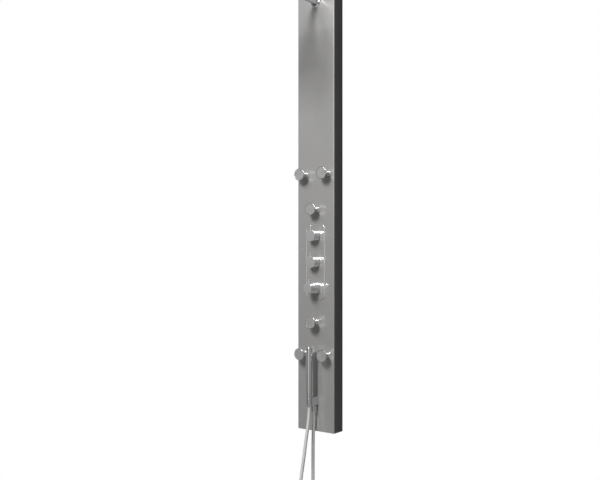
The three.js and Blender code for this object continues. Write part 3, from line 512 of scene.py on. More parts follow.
def handling_group():
    """Handling: smudges where fingers go, and hair-fine scratches in two directions."""
    group, t, given, give = effect("Handling", {"Scale": 60.0}, ("Smudge", "Scratch"))
    give("Smudge", t.fade(t.noise(given["Vector"], given["Scale"], 3.0, 0.55), 0.42, 0.72))
    lines = []
    for turn, squeeze in (((0.3, 0.8, 0.2), (1500.0, 60.0, 900.0)), ((0.9, 0.1, 1.1), (70.0, 1400.0, 1000.0))):
        drawn_out = t.add("Mapping", given["Vector"], None, turn, squeeze).outputs[0]
        lines.append(t.fade(t.noise(drawn_out, 1.0, 1.0), 0.7, 0.78))
    give("Scratch", t.sum("MAXIMUM", *lines))
    return group


def skin_group():
    """Surface skin: the small unevenness that casting, drawing or moulding leaves."""
    group, t, given, give = effect("Surface skin", {"Grit": 900.0}, ("Height", "Patches"))
    grit, wave = t.noise(given["Vector"], given["Grit"]), t.noise(given["Vector"], 120.0)
    give("Height", t.sum("MULTIPLY_ADD", grit, 0.5, wave))
    give("Patches", t.fade(t.noise(given["Vector"], 35.0, 5.0, 0.65), 0.35, 0.7))
    return group


def ribs_group():
    """Hose ribs: rounded turns of a helix, from a UV map whose U is turns and whose V is metres."""
    group, t, given, give = effect("Hose ribs", {"Pitch": 0.0022}, ("Height", "Groove"))
    place = t.add("SeparateXYZ", given["Vector"]).outputs
    turns = t.plus(place[0], t.sum("DIVIDE", place[1], given["Pitch"]))
    wave = t.sum("ABSOLUTE", t.sum("SINE", t.times(turns, math.pi)))
    give("Height", t.sum("POWER", wave, 0.6))
    give("Groove", t.fade(wave, 0.35, 0.0))
    return group


def shade(colour, factor):
    """A colour made lighter or darker by a factor."""
    return (*[min(c * factor, 1.0) for c in colour], 1.0)


class Finish:
    """A material with a Principled shader, and the groups that shape its colour, gloss and relief."""

    def __init__(self, name, metallic, groups, **sockets):
        self.material = bpy.data.materials.new(name)
        self.material.use_nodes = True
        self.t = Tree(self.material.node_tree)
        self.groups = groups
        self.shader = self.t.add("BsdfPrincipled", Metallic=metallic, **sockets)
        self.t.add("OutputMaterial", self.shader.outputs[0])
        self.place = self.t.add("TexCoord").outputs

    def use(self, group, coordinates="Object", **values):
        """Places a group, with its own values, on the coordinates named."""
        node = self.t.add("Group")
        node.node_tree = self.groups[group]
        for label, value in {"Vector": self.place[coordinates], **values}.items():
            self.t.feed(node, label, value)
        return node.outputs

    def coat(self, colour, tone, rough, relief, spots=(), rougher=()):
        """Feeds the shader. The tone is a mask and the two shades of the colour that it goes between, and each spot on
        it is a mask, a strength and a shade. The roughness is a mask and two values, and each further mask adds its
        share. The relief is a height between 0 and 1, its depth in metres and its strength."""
        t = self.t
        mask, low, high = tone
        base = t.blend(mask, shade(colour, low), shade(colour, high))
        for mask, strength, factor in spots:
            base = t.blend(t.times(mask, strength), base, shade(colour, factor))
        blur = t.between(*rough)
        for mask, amount in rougher:
            blur = t.plus(blur, t.times(mask, amount))
        height, depth, strength = relief
        bump = t.add("Bump", Height=height, Distance=depth, Strength=strength).outputs[0]
        for label, value in (("Base Color", base), ("Roughness", blur), ("Normal", bump)):
            t.feed(self.shader, label, value)
        return self.material

    def patchy(self, colour, grit, shades, blurs, depth, strength, **more):
        """Coats with a cast, rolled or moulded skin, in patches that go between two shades and two roughnesses."""
        cast = self.use("skin", Grit=grit)
        mask = cast["Patches"]
        return self.coat(colour, (mask, *shades), (mask, *blurs), (cast["Height"], depth, strength), **more)

    def polished(self, colour, gloss, scale, dark, dulled, spot, rims=0.0):
        """Coats with a polished plate: a mirror with smudges, hair scratches and the rims of a few dried drops."""
        handling, marks = self.use("handling", Scale=scale), self.use("marks", Size=0.004, Cover=0.18)
        smudge, scratch, rim = handling["Smudge"], handling["Scratch"], marks["Rims"]
        return self.coat(
            colour, (smudge, 1.0, dark), (smudge, gloss, gloss + dulled), (scratch, -0.000003, 0.2),
            [(rim, 0.3, spot)], [(scratch, 0.05), (rim, rims)],
        )


def satin_steel(groups, look, name="Satin steel", fold_at=0.0736, fold_width=0.0010, fold_painted_shade=0.5):
    """Satin polished sheet: a soft mirror with a vertical grain, faint drop rims and a dulled film in patches. In the
    strip
    `fold_width` to each side of `fold_at`, measured from the middle, where it is folded, it is rougher, and its colour
    is darkened by the given factor as painted shade that dims the lamp's highlight on the fold."""
    f = Finish(name, 0.64, groups)
    grain, marks = f.use("grain", Across=1100.0, Along=4.0), f.use("marks", Size=0.007, Cover=0.22)
    aside = f.t.sum("ABSOLUTE", f.t.add("SeparateXYZ", f.place["Object"]).outputs[0])
    fold = f.t.fade(f.t.off(aside, fold_at), fold_width + 0.0004, fold_width)
    # The fold's colour is darkened here as painted shade that dims the lamp's highlight on it; it is also made rougher.
    return f.coat(
        look.steel, (grain["Broad"], 0.965, 1.035), (grain["Fine"], look.steel_gloss - 0.02, look.steel_gloss + 0.03),
        (grain["Fine"], 0.000004, 0.35), [(marks["Rims"], 0.35, 0.86), (fold, 1.0, fold_painted_shade)],
        [(marks["Film"], 0.025), (marks["Rims"], 0.05), (fold, 0.35)],
    )


def satin_cover(groups, look):
    """The satin sheet of the valve cover, whose rounded rim is duller."""
    return satin_steel(groups, look, "Satin cover", 0.0368, 0.0008, 1.0)


def chrome_plate(groups, look):
    """Polished chrome: a clear mirror, with faint marks of hands and water."""
    f = Finish("Chrome plate", 1.0, groups)
    return f.polished(look.chrome, look.chrome_gloss, scale=55.0, dark=0.94, dulled=0.05, spot=0.8, rims=0.08)


def knob_plate(groups, look):
    """Satin chrome of the knobs: a blurred mirror over a pale body."""
    f = Finish("Knob plate", 0.5, groups)
    return f.polished(look.knob, look.knob_gloss, scale=80.0, dark=0.95, dulled=0.06, spot=0.85)


def spray_plate(groups, look):
    """Grey spray plate: fine moulded skin, with a pale lime film in patches."""
    f = Finish("Spray plate", 0.0, groups, Specular_IOR_Level=0.55)
    film = f.use("marks", Size=0.003, Cover=0.3)["Film"]
    return f.patchy(
        look.plate, grit=1400.0, shades=(0.94, 1.06), blurs=(0.3, 0.42), depth=0.00002, strength=0.4,
        spots=[(film, 0.25, 1.35)],
    )


def soft_nozzle(groups, look):
    """Soft nozzle rubber: dull, a little dusty, darker in patches."""
    f = Finish("Nozzle rubber", 0.0, groups, Specular_IOR_Level=0.35)
    return f.patchy(look.nozzle, grit=2500.0, shades=(0.88, 1.08), blurs=(0.55, 0.7), depth=0.00003, strength=0.5)


def hose_cover(groups, look):
    """Silver hose cover: a bright skin over a fine helix, with painted shade darkening its grooves. It is rougher in
    the grooves, and smudged and rougher where hands slide.
    """
    f = Finish("Hose cover", 0.3, groups)
    ribs, handling = f.use("ribs", "UV", Pitch=0.0024), f.use("handling", Scale=25.0)
    # The grooves' colour is darkened to 0.88 as painted shade in the helix's recesses.
    return f.coat(
        look.hose, (ribs["Groove"], 1.0, 0.88), (ribs["Groove"], look.hose_gloss, look.hose_gloss + 0.16),
        (ribs["Height"], 0.00005, 0.25), [(handling["Smudge"], 0.5, 0.9)], [(handling["Smudge"], 0.04)],
    )


def zinc_plate(groups, look):
    """Zinc-plated sheet: dull, with a rolled grain and cloudy patches."""
    f = Finish("Zinc plate", 1.0, groups)
    fine = f.use("grain", Across=500.0, Along=30.0)["Fine"]
    return f.patchy(
        look.zinc, grit=700.0, shades=(0.86, 1.06), blurs=(0.34, 0.5), depth=0.00003, strength=0.3,
        rougher=[(fine, 0.06)],
    )


def raw_brass(groups, look):
    """Cast and turned brass: warm, browned in patches, with a fine cast skin."""
    f = Finish("Raw brass", 1.0, groups)
    return f.patchy(look.brass, grit=1100.0, shades=(1.05, 0.68), blurs=(0.28, 0.48), depth=0.00006, strength=0.5)


def drawn_copper(groups, look):
    """Drawn copper tube: warm red, dulled and darker in patches, with faint draw lines."""
    f = Finish("Drawn copper", 1.0, groups)
    drawn, grain = f.use("skin", Grit=600.0), f.use("grain", Across=1500.0, Along=25.0)
    tone, rough = (drawn["Patches"], 1.08, 0.6), (drawn["Patches"], 0.24, 0.46)
    return f.coat(look.copper, tone, rough, (grain["Fine"], 0.00001, 0.3), rougher=[(grain["Fine"], 0.05)])


def seat_nylon(groups, look):
    """Natural acetal: milky, even, with a faint moulded skin."""
    f = Finish("Seat acetal", 0.0, groups, Specular_IOR_Level=0.5, Subsurface_Weight=0.15, Subsurface_Scale=0.002)
    return f.patchy(look.nylon, grit=1800.0, shades=(0.95, 1.03), blurs=(0.35, 0.45), depth=0.00001, strength=0.3)


FINISH_MAKERS = {
    "satin": satin_steel, "cover": satin_cover, "chrome": chrome_plate, "knob": knob_plate, "spray_face": spray_plate,
    "nozzle": soft_nozzle, "braid": hose_cover, "zinc": zinc_plate, "brass": raw_brass, "copper": drawn_copper,
    "nylon": seat_nylon,
}
EFFECT_MAKERS = {
    "grain": grain_group, "marks": marks_group, "handling": handling_group, "skin": skin_group, "ribs": ribs_group,
}
finishes = {}


def finish(name):
    """The material of that name, made from the scene's own colours when it is first asked for."""
    if not finishes:
        groups = {label: maker() for label, maker in EFFECT_MAKERS.items()}
        look = bpy.context.scene.shower_finishes
        finishes.update({label: maker(groups, look) for label, maker in FINISH_MAKERS.items()})
    return finishes[name]


# ---- What a user can change ----


def number(label, description, value, **limits):
    """A number property with its default."""
    return bpy.props.FloatProperty(name=label, description=description, default=value, **limits)


def length(label, description, value):
    """A length property in metres."""
    return number(label, description, value, unit="LENGTH", min=0, precision=5)


def share(label, description, value):
    """A property between 0 and 1."""
    return number(label, description, value, subtype="FACTOR", min=0, max=1)


def colour(label, value):
    """A colour property with its default."""
    description = label + " before light falls on it"
    return bpy.props.FloatVectorProperty(
        name=label, description=description, subtype="COLOR", size=3, min=0, max=1, default=value
    )


class ShowerFinishes(bpy.types.PropertyGroup):
    """Colours and gloss of the finishes."""

    steel: colour("Satin steel", (0.62, 0.615, 0.605))
    steel_gloss: share("Steel roughness", "How blurred the satin steel's mirror is", 0.2)
    chrome: colour("Chrome plate", (0.60, 0.60, 0.605))
    chrome_gloss: share("Chrome roughness", "How blurred the chrome's mirror is", 0.06)
    knob: colour("Knob plate", (0.60, 0.60, 0.60))
    knob_gloss: share("Knob roughness", "How blurred the knobs' mirror is", 0.14)
    plate: colour("Spray plate", (0.40, 0.40, 0.395))
    nozzle: colour("Nozzle rubber", (0.03, 0.03, 0.03))
    hose: colour("Hose cover", (0.82, 0.82, 0.81))
    hose_gloss: share("Hose roughness", "How blurred the hose cover's mirror is", 0.16)
    zinc: colour("Zinc plate", (0.58, 0.59, 0.60))
    brass: colour("Raw brass", (0.66, 0.50, 0.26))
    copper: colour("Drawn copper", (0.66, 0.36, 0.22))
    nylon: colour("Seat acetal", (0.80, 0.79, 0.76))


class ShowerSizes(bpy.types.PropertyGroup):
    """Sizes of the small shapes that the CAD solids leave plain."""

    sheet_edge: length("Sheet edge", "Round on the cut edges of sheet metal", 0.0004)
    cover_edge: length("Cover edge", "Round on the rim of the valve cover", 0.0016)
    knob_edge: length("Knob edge", "Round on the front rim of a knob", 0.0014)
    jet_pitch: length("Jet nozzle pitch", "Distance between the nozzles of a body jet", 0.0066)
    rain_pitch: length("Rain nozzle pitch", "Distance between the rings of nozzles of the rain shower", 0.0095)
    nozzle_radius: length("Nozzle radius", "Radius of a soft nozzle at its foot", 0.0019)
    nozzle_height: length("Nozzle height", "How far a soft nozzle stands out", 0.0012)
    flute_depth: length("Grip flute depth", "Depth of the grip flutes on the outlet nut", 0.0004)


class ShowerStage(bpy.types.PropertyGroup):
    """The camera, the light and the floor."""

    turn: number("View turn", "How far round to the right the camera stands", math.radians(36.6), subtype="ANGLE")
    distance: length("Camera distance", "From the panel to the camera", 2.605)
    aside: length("Camera offset", "How far the camera stands to the left of the line to the panel", 0.0535)
    eye: length("Eye height", "Camera height above the panel's lower edge", 0.5825)
    lens: number("Lens", "Focal length on a 36 mm sensor", 46.14, unit="CAMERA")
    shift: number("Lens shift", "How far up the view is shifted, as a share of its width", 19 / 600)
    lamp_power: number("Lamp", "Power of the main lamp", 90.0, unit="POWER")
    surround: share("Surround", "Brightness of the studio's surround", 1.0)
    strip: number("Strip", "Brightness of the surround's strip", 1.2, min=0)
    patch: number("Low patch", "Brightness of the low patch", 1.0, min=0)
    floor_gap: length("Floor gap", "From the lowest point of the hose to the floor", 0.15)


GROUPS = {"shower_finishes": ShowerFinishes, "shower_sizes": ShowerSizes, "shower_stage": ShowerStage}


# ---- Operators ----


class Builder:
    """What the operators share."""

    bl_options = {"REGISTER", "UNDO"}

    def execute(self, context):
        self.build(context.scene.shower_sizes)
        return {"FINISHED"}


class SHOWER_OT_stage(bpy.types.Operator):
    """Sets the camera, the lamps, the surround and the floor"""

    bl_idname = "shower.stage"
    bl_label = "Stage"

    def execute(self, context):
        scene, look = context.scene, context.scene.shower_stage
        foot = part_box("panel_shell")[0].z
        scene.view_settings.view_transform = "Standard"
        self.camera(scene, look, foot)
        self.world(scene)
        self.surround(look)
        self.lamps(look, foot)
        self.floor(CAD_BOX[0][2] - look.floor_gap)
        return {"FINISHED"}

    def camera(self, scene, look, foot):
        """A level camera to the right of the panel, which it sees left of the middle of its view."""
        ahead = Vector((-math.sin(look.turn), math.cos(look.turn), 0))
        right = Vector((math.cos(look.turn), math.sin(look.turn), 0))
        lens = bpy.data.cameras.new("Camera")
        lens.sensor_width = 36
        lens.lens = look.lens
        lens.shift_y = look.shift
        camera = bpy.data.objects.new("Camera", lens)
        camera.location = Vector((0, FACE, foot + look.eye)) - look.distance * ahead - look.aside * right
        camera.rotation_euler = ahead.to_track_quat("-Z", "Y").to_euler()
        scene.collection.objects.link(camera)
        scene.camera = camera

    def world(self, scene):
        """White to the eye and in mirrors, a soft grey for the light that it gives."""
        world = bpy.data.worlds.new("Studio")
        scene.world = world
        world.use_nodes = True
        t = Tree(world.node_tree)
        back = t.add("Background", WHITE, t.between(t.seen(), 0.03, 1.0))
        t.add("OutputWorld", back.outputs[0])

    def prop(self, name, points, faces):
        """A piece of the stage with a new material. Returns the object and the material's tree."""
        mesh = bpy.data.meshes.new(name)
        mesh.from_pydata(points.tolist(), [], faces)
        paint = bpy.data.materials.new(name)
        paint.use_nodes = True
        mesh.materials.append(paint)
        made = bpy.data.objects.new(name, mesh)
        bpy.context.scene.collection.objects.link(made)
        return made, Tree(paint.node_tree)

    def surround(self, look):
        """A tall drum round the studio, unseen by the camera, so that polished metal has something to mirror. It glows
        at the left and the front, fades to the right, brightens upwards, and has a bright upright strip near its
        middle and a bright patch below it."""
        sides, foot, head = 96, -8.0, 6.0
        ring = circle(5, sides)
        points = np.concatenate([np.column_stack([ring, np.full(sides, z)]) for z in (foot, head)])
        i = np.arange(sides)
        j = (i + 1) % sides
        drum, t = self.prop("Surround", points, np.stack([j, i, i + sides, j + sides], axis=1).tolist())
        drum.visible_camera = drum.visible_diffuse = drum.visible_shadow = False
        place = t.add("SeparateXYZ", t.add("TexCoord").outputs["Object"]).outputs
        angle = t.sum("ARCTAN2", place[0], t.times(place[1], -1.0))
        ramp = t.add("ValToRGB", t.sum("MULTIPLY_ADD", angle, 0.5 / math.pi, 0.5))
        elements = ramp.color_ramp.elements
        while len(elements) < len(SURROUND_STOPS):
            elements.new(0.5)
        for element, (degrees, level) in zip(elements, SURROUND_STOPS):
            element.position = (degrees + 180) / 360
            element.color = (level, level, level, 1)

        def spot(turn, turn_rim, turn_core, height, rim, core):
            """1 in an upright patch of the drum, fading to 0 from its core to its rim."""
            beside = t.fade(t.off(angle, math.radians(turn)), turn_rim, turn_core)
            return t.times(beside, t.fade(t.off(place[2], height), rim, core))

        patch = t.times(spot(8, 0.22, 0.10, -4.6, 1.4, 0.6), look.patch)
        strip = t.times(spot(-4, 0.14, 0.07, -1.0, 1.6, 0.9), look.strip)
        rising = t.fade(place[2], -2.2, 1.0, 0.84, 1.14)
        level = t.plus(t.times(ramp.outputs[0], rising), t.plus(patch, strip))
        t.add("OutputMaterial", t.add("Emission", WHITE, t.times(level, look.surround)).outputs[0])

    def lamps(self, look, foot):
        """A tall narrow soft lamp at the front, and a smaller one at the upper left."""
        low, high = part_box("rain_head")
        for name, target, rise, turn, height, power in (
            ("Tall lamp", Vector((0, FACE, foot + 0.6)), 33, 5, 1.1, look.lamp_power),
            ("High lamp", (low + high) / 2, 39, -15.6, 0.45, look.lamp_power * 0.25),
        ):
            rise, turn = math.radians(rise), math.radians(turn)
            lamp = bpy.data.lights.new(name, "AREA")
            lamp.shape = "RECTANGLE"
            lamp.size, lamp.size_y = 0.45, height
            lamp.energy = power
            held = bpy.data.objects.new(name, lamp)
            held.location = target + LAMP_DISTANCE * Vector(
                (math.cos(rise) * math.sin(turn), -math.cos(rise) * math.cos(turn), math.sin(rise))
            )
            held.rotation_euler = (target - held.location).to_track_quat("-Z", "Y").to_euler()
            bpy.context.scene.collection.objects.link(held)

    def floor(self, height):
        """A round pale floor that fades to white at its rim."""
        sides = 128
        rim = np.column_stack([circle(1.4, sides) + [0, FACE], np.full(sides, height)])
        t = self.prop("Floor", rim, [list(range(sides))])[1]
        place = t.add("TexCoord").outputs["Object"]
        away = t.add("VectorMath", t.scaled(place, (1, 1, 0)), operation="LENGTH").outputs["Value"]
        tone = t.blend(t.noise(place, 30.0, 3.0), (0.80, 0.80, 0.80, 1), (0.83, 0.83, 0.83, 1))
        matt = t.add("BsdfPrincipled", Base_Color=tone, Roughness=0.8).outputs[0]
        glow = t.add("Emission", WHITE, t.between(t.seen(), 0.05, 1.0)).outputs[0]
        t.add("OutputMaterial", t.add("MixShader", t.fade(away, 0.5, 1.35), matt, glow).outputs[0])


class SHOWER_OT_hose(Builder, bpy.types.Operator):
    """Hangs the hose in its loop from the outlet to the hand shower"""

    bl_idname = "shower.hose"
    bl_label = "Hose"

    def build(self, sizes):
        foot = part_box("panel_shell")[0].z
        route = np.array([(0, FACE - out, foot + height) for out, height in HOSE_ROUTE])
        line = through(route, 14)
        along = distances(line)
        spoke = spokes(unit(np.gradient(line, along, axis=0)), 24)
        tube = line[:, None] + HOSE_DIAMETER / 2 * spoke
        ends = [np.repeat(line[i][None, None], 24, axis=1) for i in (0, -1)]
        rows = np.concatenate([ends[0], tube, ends[1]])
        normals = np.concatenate([spoke[:1], spoke, spoke[-1:]])
        surface = skin(rows, normals, np.concatenate([[0], along, along[-1:]]))
        hose = put_surface("fine_hose", "hose", surface, "braid", rides=False)
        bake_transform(hose)


class SHOWER_OT_panel(Builder, bpy.types.Operator):
    """Finishes the folded steel tray"""

    bl_idname = "shower.panel"
    bl_label = "Panel"

    def build(self, sizes):
        eased_copy("panel_shell", "satin", sizes.sheet_edge / MM, steps=3)


class SHOWER_OT_brackets(Builder, bpy.types.Operator):
    """Finishes the wall plate, the crossbar and the lower bracket"""

    bl_idname = "shower.brackets"
    bl_label = "Brackets"

    def build(self, sizes):
        for node in ("wall_plate", "panel_crossbar", "lower_bracket"):
            eased_copy(node, "zinc", sizes.sheet_edge / MM)


class SHOWER_OT_waterways(Builder, bpy.types.Operator):
    """Finishes the inlets, the mixer with its cartridges, the pipes and the arm's socket"""

    bl_idname = "shower.waterways"
    bl_label = "Waterways"

    def build(self, sizes):
        for node in ("upper_jet_pipe", "lower_jet_pipe", "riser_pipe", "hose_feed_pipe"):
            eased_copy(node, "copper", 0, flat=45)
        for node in ("mixer_block", "arm_socket"):
            eased_copy(node, "brass", 0.6)
        for node in ("hot_inlet", "cold_inlet"):
            eased_copy(node, "brass", 0)
        for valve in VALVES:
            eased_copy("cartridge_" + valve, "brass")
            eased_copy("spindle_" + valve, "brass")


class SHOWER_OT_valves(Builder, bpy.types.Operator):
    """Makes the valve cover, the knobs and their levers"""

    bl_idname = "shower.valves"
    bl_label = "Valves"

    def build(self, sizes):
        eased_copy("valve_cover", "cover", sizes.cover_edge / MM, steps=4)
        for valve in VALVES:
            self.knob(valve, sizes)
            self.lever(valve)

    def knob(self, valve, sizes):
        """A turned body from its blind bore round the back rim and along the side to the eased front rim."""
        node = "knob_" + valve
        low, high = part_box(node)
        spindle_low, spindle_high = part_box("spindle_" + valve)
        back, front = FACE - high.y, FACE - low.y
        tip = FACE - spindle_low.y + PLAY
        hub = (spindle_high.x - spindle_low.x) / 2 + PLAY
        turned(node, [
            (0, tip, 0), (hub, tip, 0.0004), (hub, back, 0.0003), (high.x, back, 0.0006),
            (front_radius(node), front, sizes.knob_edge), (0, front, 0),
        ], (0, FACE, (spindle_low.z + spindle_high.z) / 2), OUT, 112, "knob", steps=9)

    def lever(self, valve):
        """A pin with a domed tip that stands on the knob's side."""
        low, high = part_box("lever_" + valve)
        radius, tall = (high.x - low.x) / 2, high.z - low.z
        origin = ((low.x + high.x) / 2, (low.y + high.y) / 2, low.z)
        turned("lever_" + valve, [
            (0, 0, 0), (radius, 0, 0.0003), (radius, tall, radius * 0.95), (0, tall, 0),
        ], origin, UP, 40, "knob", steps=9)


class SHOWER_OT_jets(Builder, bpy.types.Operator):
    """Makes the six body jets: stem and ball, seat, flared head, spray face and nozzles"""

    bl_idname = "shower.jets"
    bl_label = "Body jets"

    def build(self, sizes):
        for jet in JETS:
            low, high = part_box("jet_face_" + jet)
            axis = ((low.x + high.x) / 2, FACE, (low.z + high.z) / 2)
            self.stem("jet_stem_" + jet, axis)
            eased_copy("jet_seat_" + jet, "nylon", 0, flat=40)
            self.head("jet_head_" + jet, axis)
            self.face(jet, axis, sizes)

    def stem(self, node, axis):
        """A turned stem with a collar behind the sheet, a neck and a ball."""
        ball, neck, stem, collar = 0.007, 0.0032, 0.0092, 0.012
        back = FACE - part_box(node)[1].y
        turned(node, [
            (0, back, 0), (stem, back, 0.0005), (stem, -0.008, 0), (collar, -0.008, 0.0005), (collar, -0.0023, 0.0003),
            (stem, -0.0023, 0), (stem, 0.0096, 0.0008), (neck, 0.0099, 0.0006), *arc(ball, JET_BALL_OUT, 150, 0, 9),
        ], axis, OUT, 64, "chrome", steps=7)

    def head(self, node, axis):
        """A turned cone round the socket that widens to the rim, with a ledge for the spray face."""
        low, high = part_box(node)
        rim, front, back = (high.x - low.x) / 2, FACE - low.y, FACE - high.y
        body, socket, ledge = 0.0115, 0.0091, front - 0.0026
        turned(node, [
            (body, back, 0.0008), (rim, front - 0.0018, 0.0007), (rim, front, 0.0008), (rim - 0.0017, front, 0.0002),
            (rim - 0.0017, ledge, 0), (rim - 0.0034, ledge, 0.0002), *arc(socket, JET_BALL_OUT, 45, 133, 8),
        ], axis, OUT, 96, "chrome", closed=True, steps=7)

    def face(self, jet, axis, sizes):
        """A thin turned plate with a shallow step, and soft nozzles in rings."""
        node = "jet_face_" + jet
        low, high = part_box(node)
        radius, back, front = (high.x - low.x) / 2, FACE - high.y, FACE - low.y
        turned(node, [
            (0, back, 0), (radius, back, 0.0002), (radius, front, 0.0003), (radius - 0.0012, front, 0.0002),
            (radius - 0.0014, front - FACE_STEP, 0.0002), (0, front - FACE_STEP, 0),
        ], axis, OUT, 72, "spray_face")
        grid = round_grid(radius - 0.003, sizes.jet_pitch)
        centres = np.column_stack([axis[0] + grid[:, 0], np.full(len(grid), low.y + FACE_STEP), axis[2] + grid[:, 1]])
        nozzles(jet, node, centres, OUT, sizes.nozzle_radius, sizes.nozzle_height * 0.7)


class SHOWER_OT_overhead(Builder, bpy.types.Operator):
    """Makes the arm with its rose, and the rain shower with its seat, face and nozzles"""

    bl_idname = "shower.overhead"
    bl_label = "Overhead shower"

    def build(self, sizes):
        self.arm()
        self.rose()
        eased_copy("rain_seat", "nylon", 0, flat=40)
        self.head()
        self.face(sizes)

    def arm(self):
        """A round tube carried out and down, which steps in to the neck and ends in the ball."""
        low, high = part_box("shower_arm")
        radius, bend, neck, neck_length = high.x, 0.016, 0.0055, 0.005
        axis = high.z - radius
        run = high.y - low.y - radius - bend
        corner = run + bend * math.pi / 2
        ball = corner + (axis - bend) - (low.z + RAIN_BALL)
        tip = corner + (axis - bend) - (low.z + 2 * RAIN_BALL + neck_length)
        dome = arc(RAIN_BALL, ball, 180 - math.degrees(math.asin(neck / RAIN_BALL)), 0, 9)
        dome[0] = (*dome[0][:2], 0.0004)
        start, slope_start = outline([(0, 0, 0), (radius, 0, 0.0006), (radius, run, 0)])
        end, slope_end = outline([
            (radius, corner, 0), (radius, tip, 0.0012), (neck, tip + 0.0004, 0.001), *dome,
        ], steps=8)
        steps = 22
        turn = np.column_stack([np.full(steps, radius), np.linspace(run, corner, steps + 2)[1:-1]])
        points = np.concatenate([start, turn, end])
        slopes = np.concatenate([slope_start, np.tile([0.0, 1.0], (steps, 1)), slope_end])
        surface = carried((points, slopes), bent_down((0, high.y, axis), run, bend), 72)
        put_surface("fine_shower_arm", "shower_arm", surface, "chrome")

    def rose(self):
        """A turned ring that closes the panel's hole round the arm, with a soft shoulder."""
        low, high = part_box("arm_rose")
        rim, front = high.x, FACE - low.y
        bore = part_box("shower_arm")[1].x + PLAY
        turned("arm_rose", [
            (bore, PLAY, 0.0001), (rim, PLAY, 0.0003), (rim, 0.0024, 0.0015), (rim - 0.0034, front, 0.0022),
            (bore, front, 0.0006),
        ], (0, FACE, (low.z + high.z) / 2), OUT, 96, "chrome", closed=True, steps=8)

    def head(self):
        """A turned shallow bell: the boss with its socket, a thin roof, the rim and the ledge for the face."""
        low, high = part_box("rain_head")
        rim, boss, wall, socket = (high.x - low.x) / 2, 0.0135, 0.003, 0.0113
        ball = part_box("shower_arm")[0].z + RAIN_BALL
        bottom, top = low.z - ball, high.z - ball
        roof, ledge = bottom + 0.0065, bottom + 0.0026
        turned("rain_head", [
            *arc(socket, 0, 140, 53, 9), (boss, top, 0.0006), (boss, roof + 0.007, 0.003),
            (0.017, roof + 0.0035, 0.003), (rim - 0.006, roof + 0.0009, 0.004), (rim, roof - 0.0004, 0.0016),
            (rim, bottom, 0.0008), (rim - wall, bottom, 0.0002), (rim - wall, ledge, 0),
            (rim - 2 * wall, ledge, 0.0002), (0.0075, roof, 0.0005),
        ], (0, (low.y + high.y) / 2, ball), UP, 160, "chrome", closed=True, steps=8)

    def face(self, sizes):
        """A thin turned plate with a shallow step, and soft nozzles in rings."""
        low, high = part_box("rain_face")
        radius, middle_y, thick = (high.x - low.x) / 2, (low.y + high.y) / 2, high.z - low.z
        turned("rain_face", [
            (0, 0, 0), (radius, 0, 0.0002), (radius, thick, 0.0003), (radius - 0.0015, thick, 0.0002),
            (radius - 0.0018, thick - FACE_STEP, 0.0002), (0, thick - FACE_STEP, 0),
        ], (0, middle_y, high.z), -UP, 144, "spray_face")
        grid = round_grid(radius - 0.006, sizes.rain_pitch)
        centres = np.column_stack([grid[:, 0], middle_y + grid[:, 1], np.full(len(grid), low.z + FACE_STEP)])
        nozzles("rain", "rain_face", centres, -UP, sizes.nozzle_radius * 1.25, sizes.nozzle_height * 1.2)


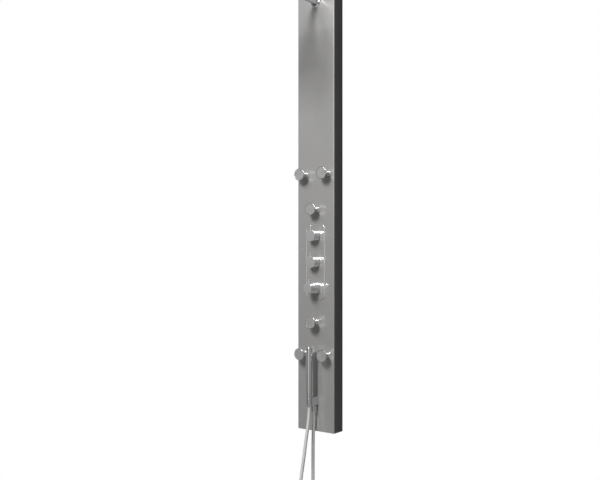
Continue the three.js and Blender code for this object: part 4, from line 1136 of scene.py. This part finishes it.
class SHOWER_OT_hand_shower(Builder, bpy.types.Operator):
    """Makes the hand shower, its spray insert, the holder, the hose's cone and the outlet nut"""

    bl_idname = "shower.hand_shower"
    bl_label = "Hand shower"

    def build(self, sizes):
        eased_copy("hand_shower", "chrome")
        eased_copy("hand_shower_insert", "spray_face", 0.2)
        eased_copy("holder", "chrome", 0.7, steps=3)
        self.spray(sizes)
        self.cone()
        self.nut(sizes)

    def spray(self, sizes):
        """Two columns of soft nozzles along the insert, set on the bar's round."""
        low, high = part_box("hand_shower_insert")
        bar_low, bar_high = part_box("hand_shower")
        radius, axis = (bar_high.x - bar_low.x) / 2, (bar_low.y + bar_high.y) / 2
        x, z = np.meshgrid([-0.0032, 0.0032], np.linspace(low.z + 0.007, high.z - 0.007, 12))
        x, z = x.ravel(), z.ravel()
        centres = np.column_stack([x, axis + np.sqrt(radius**2 - x**2) - 0.0001, z])
        small, low_dome = sizes.nozzle_radius * 0.6, sizes.nozzle_height * 0.6
        nozzles("hand_shower", "hand_shower_insert", centres, -OUT, small, low_dome)

    def cone(self):
        """A turned cone with the hose's end in its lower bore and the hand shower's thread above."""
        low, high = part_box("hose_cone")
        tall, wide = high.z - low.z, high.x
        narrow, bore, deep, thread, waterway = wide - 0.0018, HOSE_DIAMETER / 2 + PLAY, 0.015, 0.0053, 0.002
        turned("hose_cone", [
            (bore, 0, 0.0003), (narrow, 0, 0.0007), (narrow, 0.003, 0.0005), (wide, tall, 0.0003),
            (thread, tall, 0.0003), (thread, tall - 0.0093, 0), (waterway, tall - 0.0093, 0), (waterway, deep, 0),
            (bore, deep, 0),
        ], (0, (low.y + high.y) / 2, low.z), UP, 64, "chrome", closed=True)

    def nut(self, sizes):
        """A turned nut with eased rims and shallow grip flutes round it."""
        low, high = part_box("outlet_nut")
        tall, wide = high.z - low.z, high.x
        bore, thread, seat = HOSE_DIAMETER / 2 + PLAY, 0.0073, tall - 0.0073
        turned("outlet_nut", [
            (bore, 0, 0.0003), (wide - 0.001, 0, 0.0005), (wide, 0.0014, 0.0008), (wide, tall - 0.0014, 0.0008),
            (wide - 0.001, tall, 0.0005), (thread, tall, 0.0003), (thread, seat, 0), (bore, seat, 0),
        ], (0, (low.y + high.y) / 2, low.z), UP, 144, "chrome", closed=True, flutes=16, flute_depth=sizes.flute_depth)


OPERATORS = (
    SHOWER_OT_stage, SHOWER_OT_hand_shower, SHOWER_OT_hose, SHOWER_OT_panel, SHOWER_OT_valves, SHOWER_OT_jets,
    SHOWER_OT_overhead, SHOWER_OT_waterways, SHOWER_OT_brackets,
)


class SHOWER_PT_pieces(bpy.types.Panel):
    """Lists the pieces of the shower column and what can be changed"""

    bl_idname = "SHOWER_PT_pieces"
    bl_label = "Shower Column"
    bl_space_type = "VIEW_3D"
    bl_region_type = "UI"
    bl_category = "Shower"

    def draw(self, context):
        for operator in OPERATORS:
            self.layout.operator(operator.bl_idname)
        for group in GROUPS:
            values = getattr(context.scene, group)
            box = self.layout.box()
            for name in values.bl_rna.properties.keys():
                if name not in ("rna_type", "name"):
                    box.prop(values, name)


def register():
    for cls in (*GROUPS.values(), *OPERATORS, SHOWER_PT_pieces):
        bpy.utils.register_class(cls)
    for name, group in GROUPS.items():
        setattr(bpy.types.Scene, name, bpy.props.PointerProperty(type=group))


def unregister():
    for name in GROUPS:
        delattr(bpy.types.Scene, name)
    for cls in reversed((*GROUPS.values(), *OPERATORS, SHOWER_PT_pieces)):
        bpy.utils.unregister_class(cls)


def main():
    """Makes every piece in order."""
    register()
    for operator in OPERATORS:
        group, name = operator.bl_idname.split(".")
        getattr(getattr(bpy.ops, group), name)()


if __name__ == "__main__":
    main()
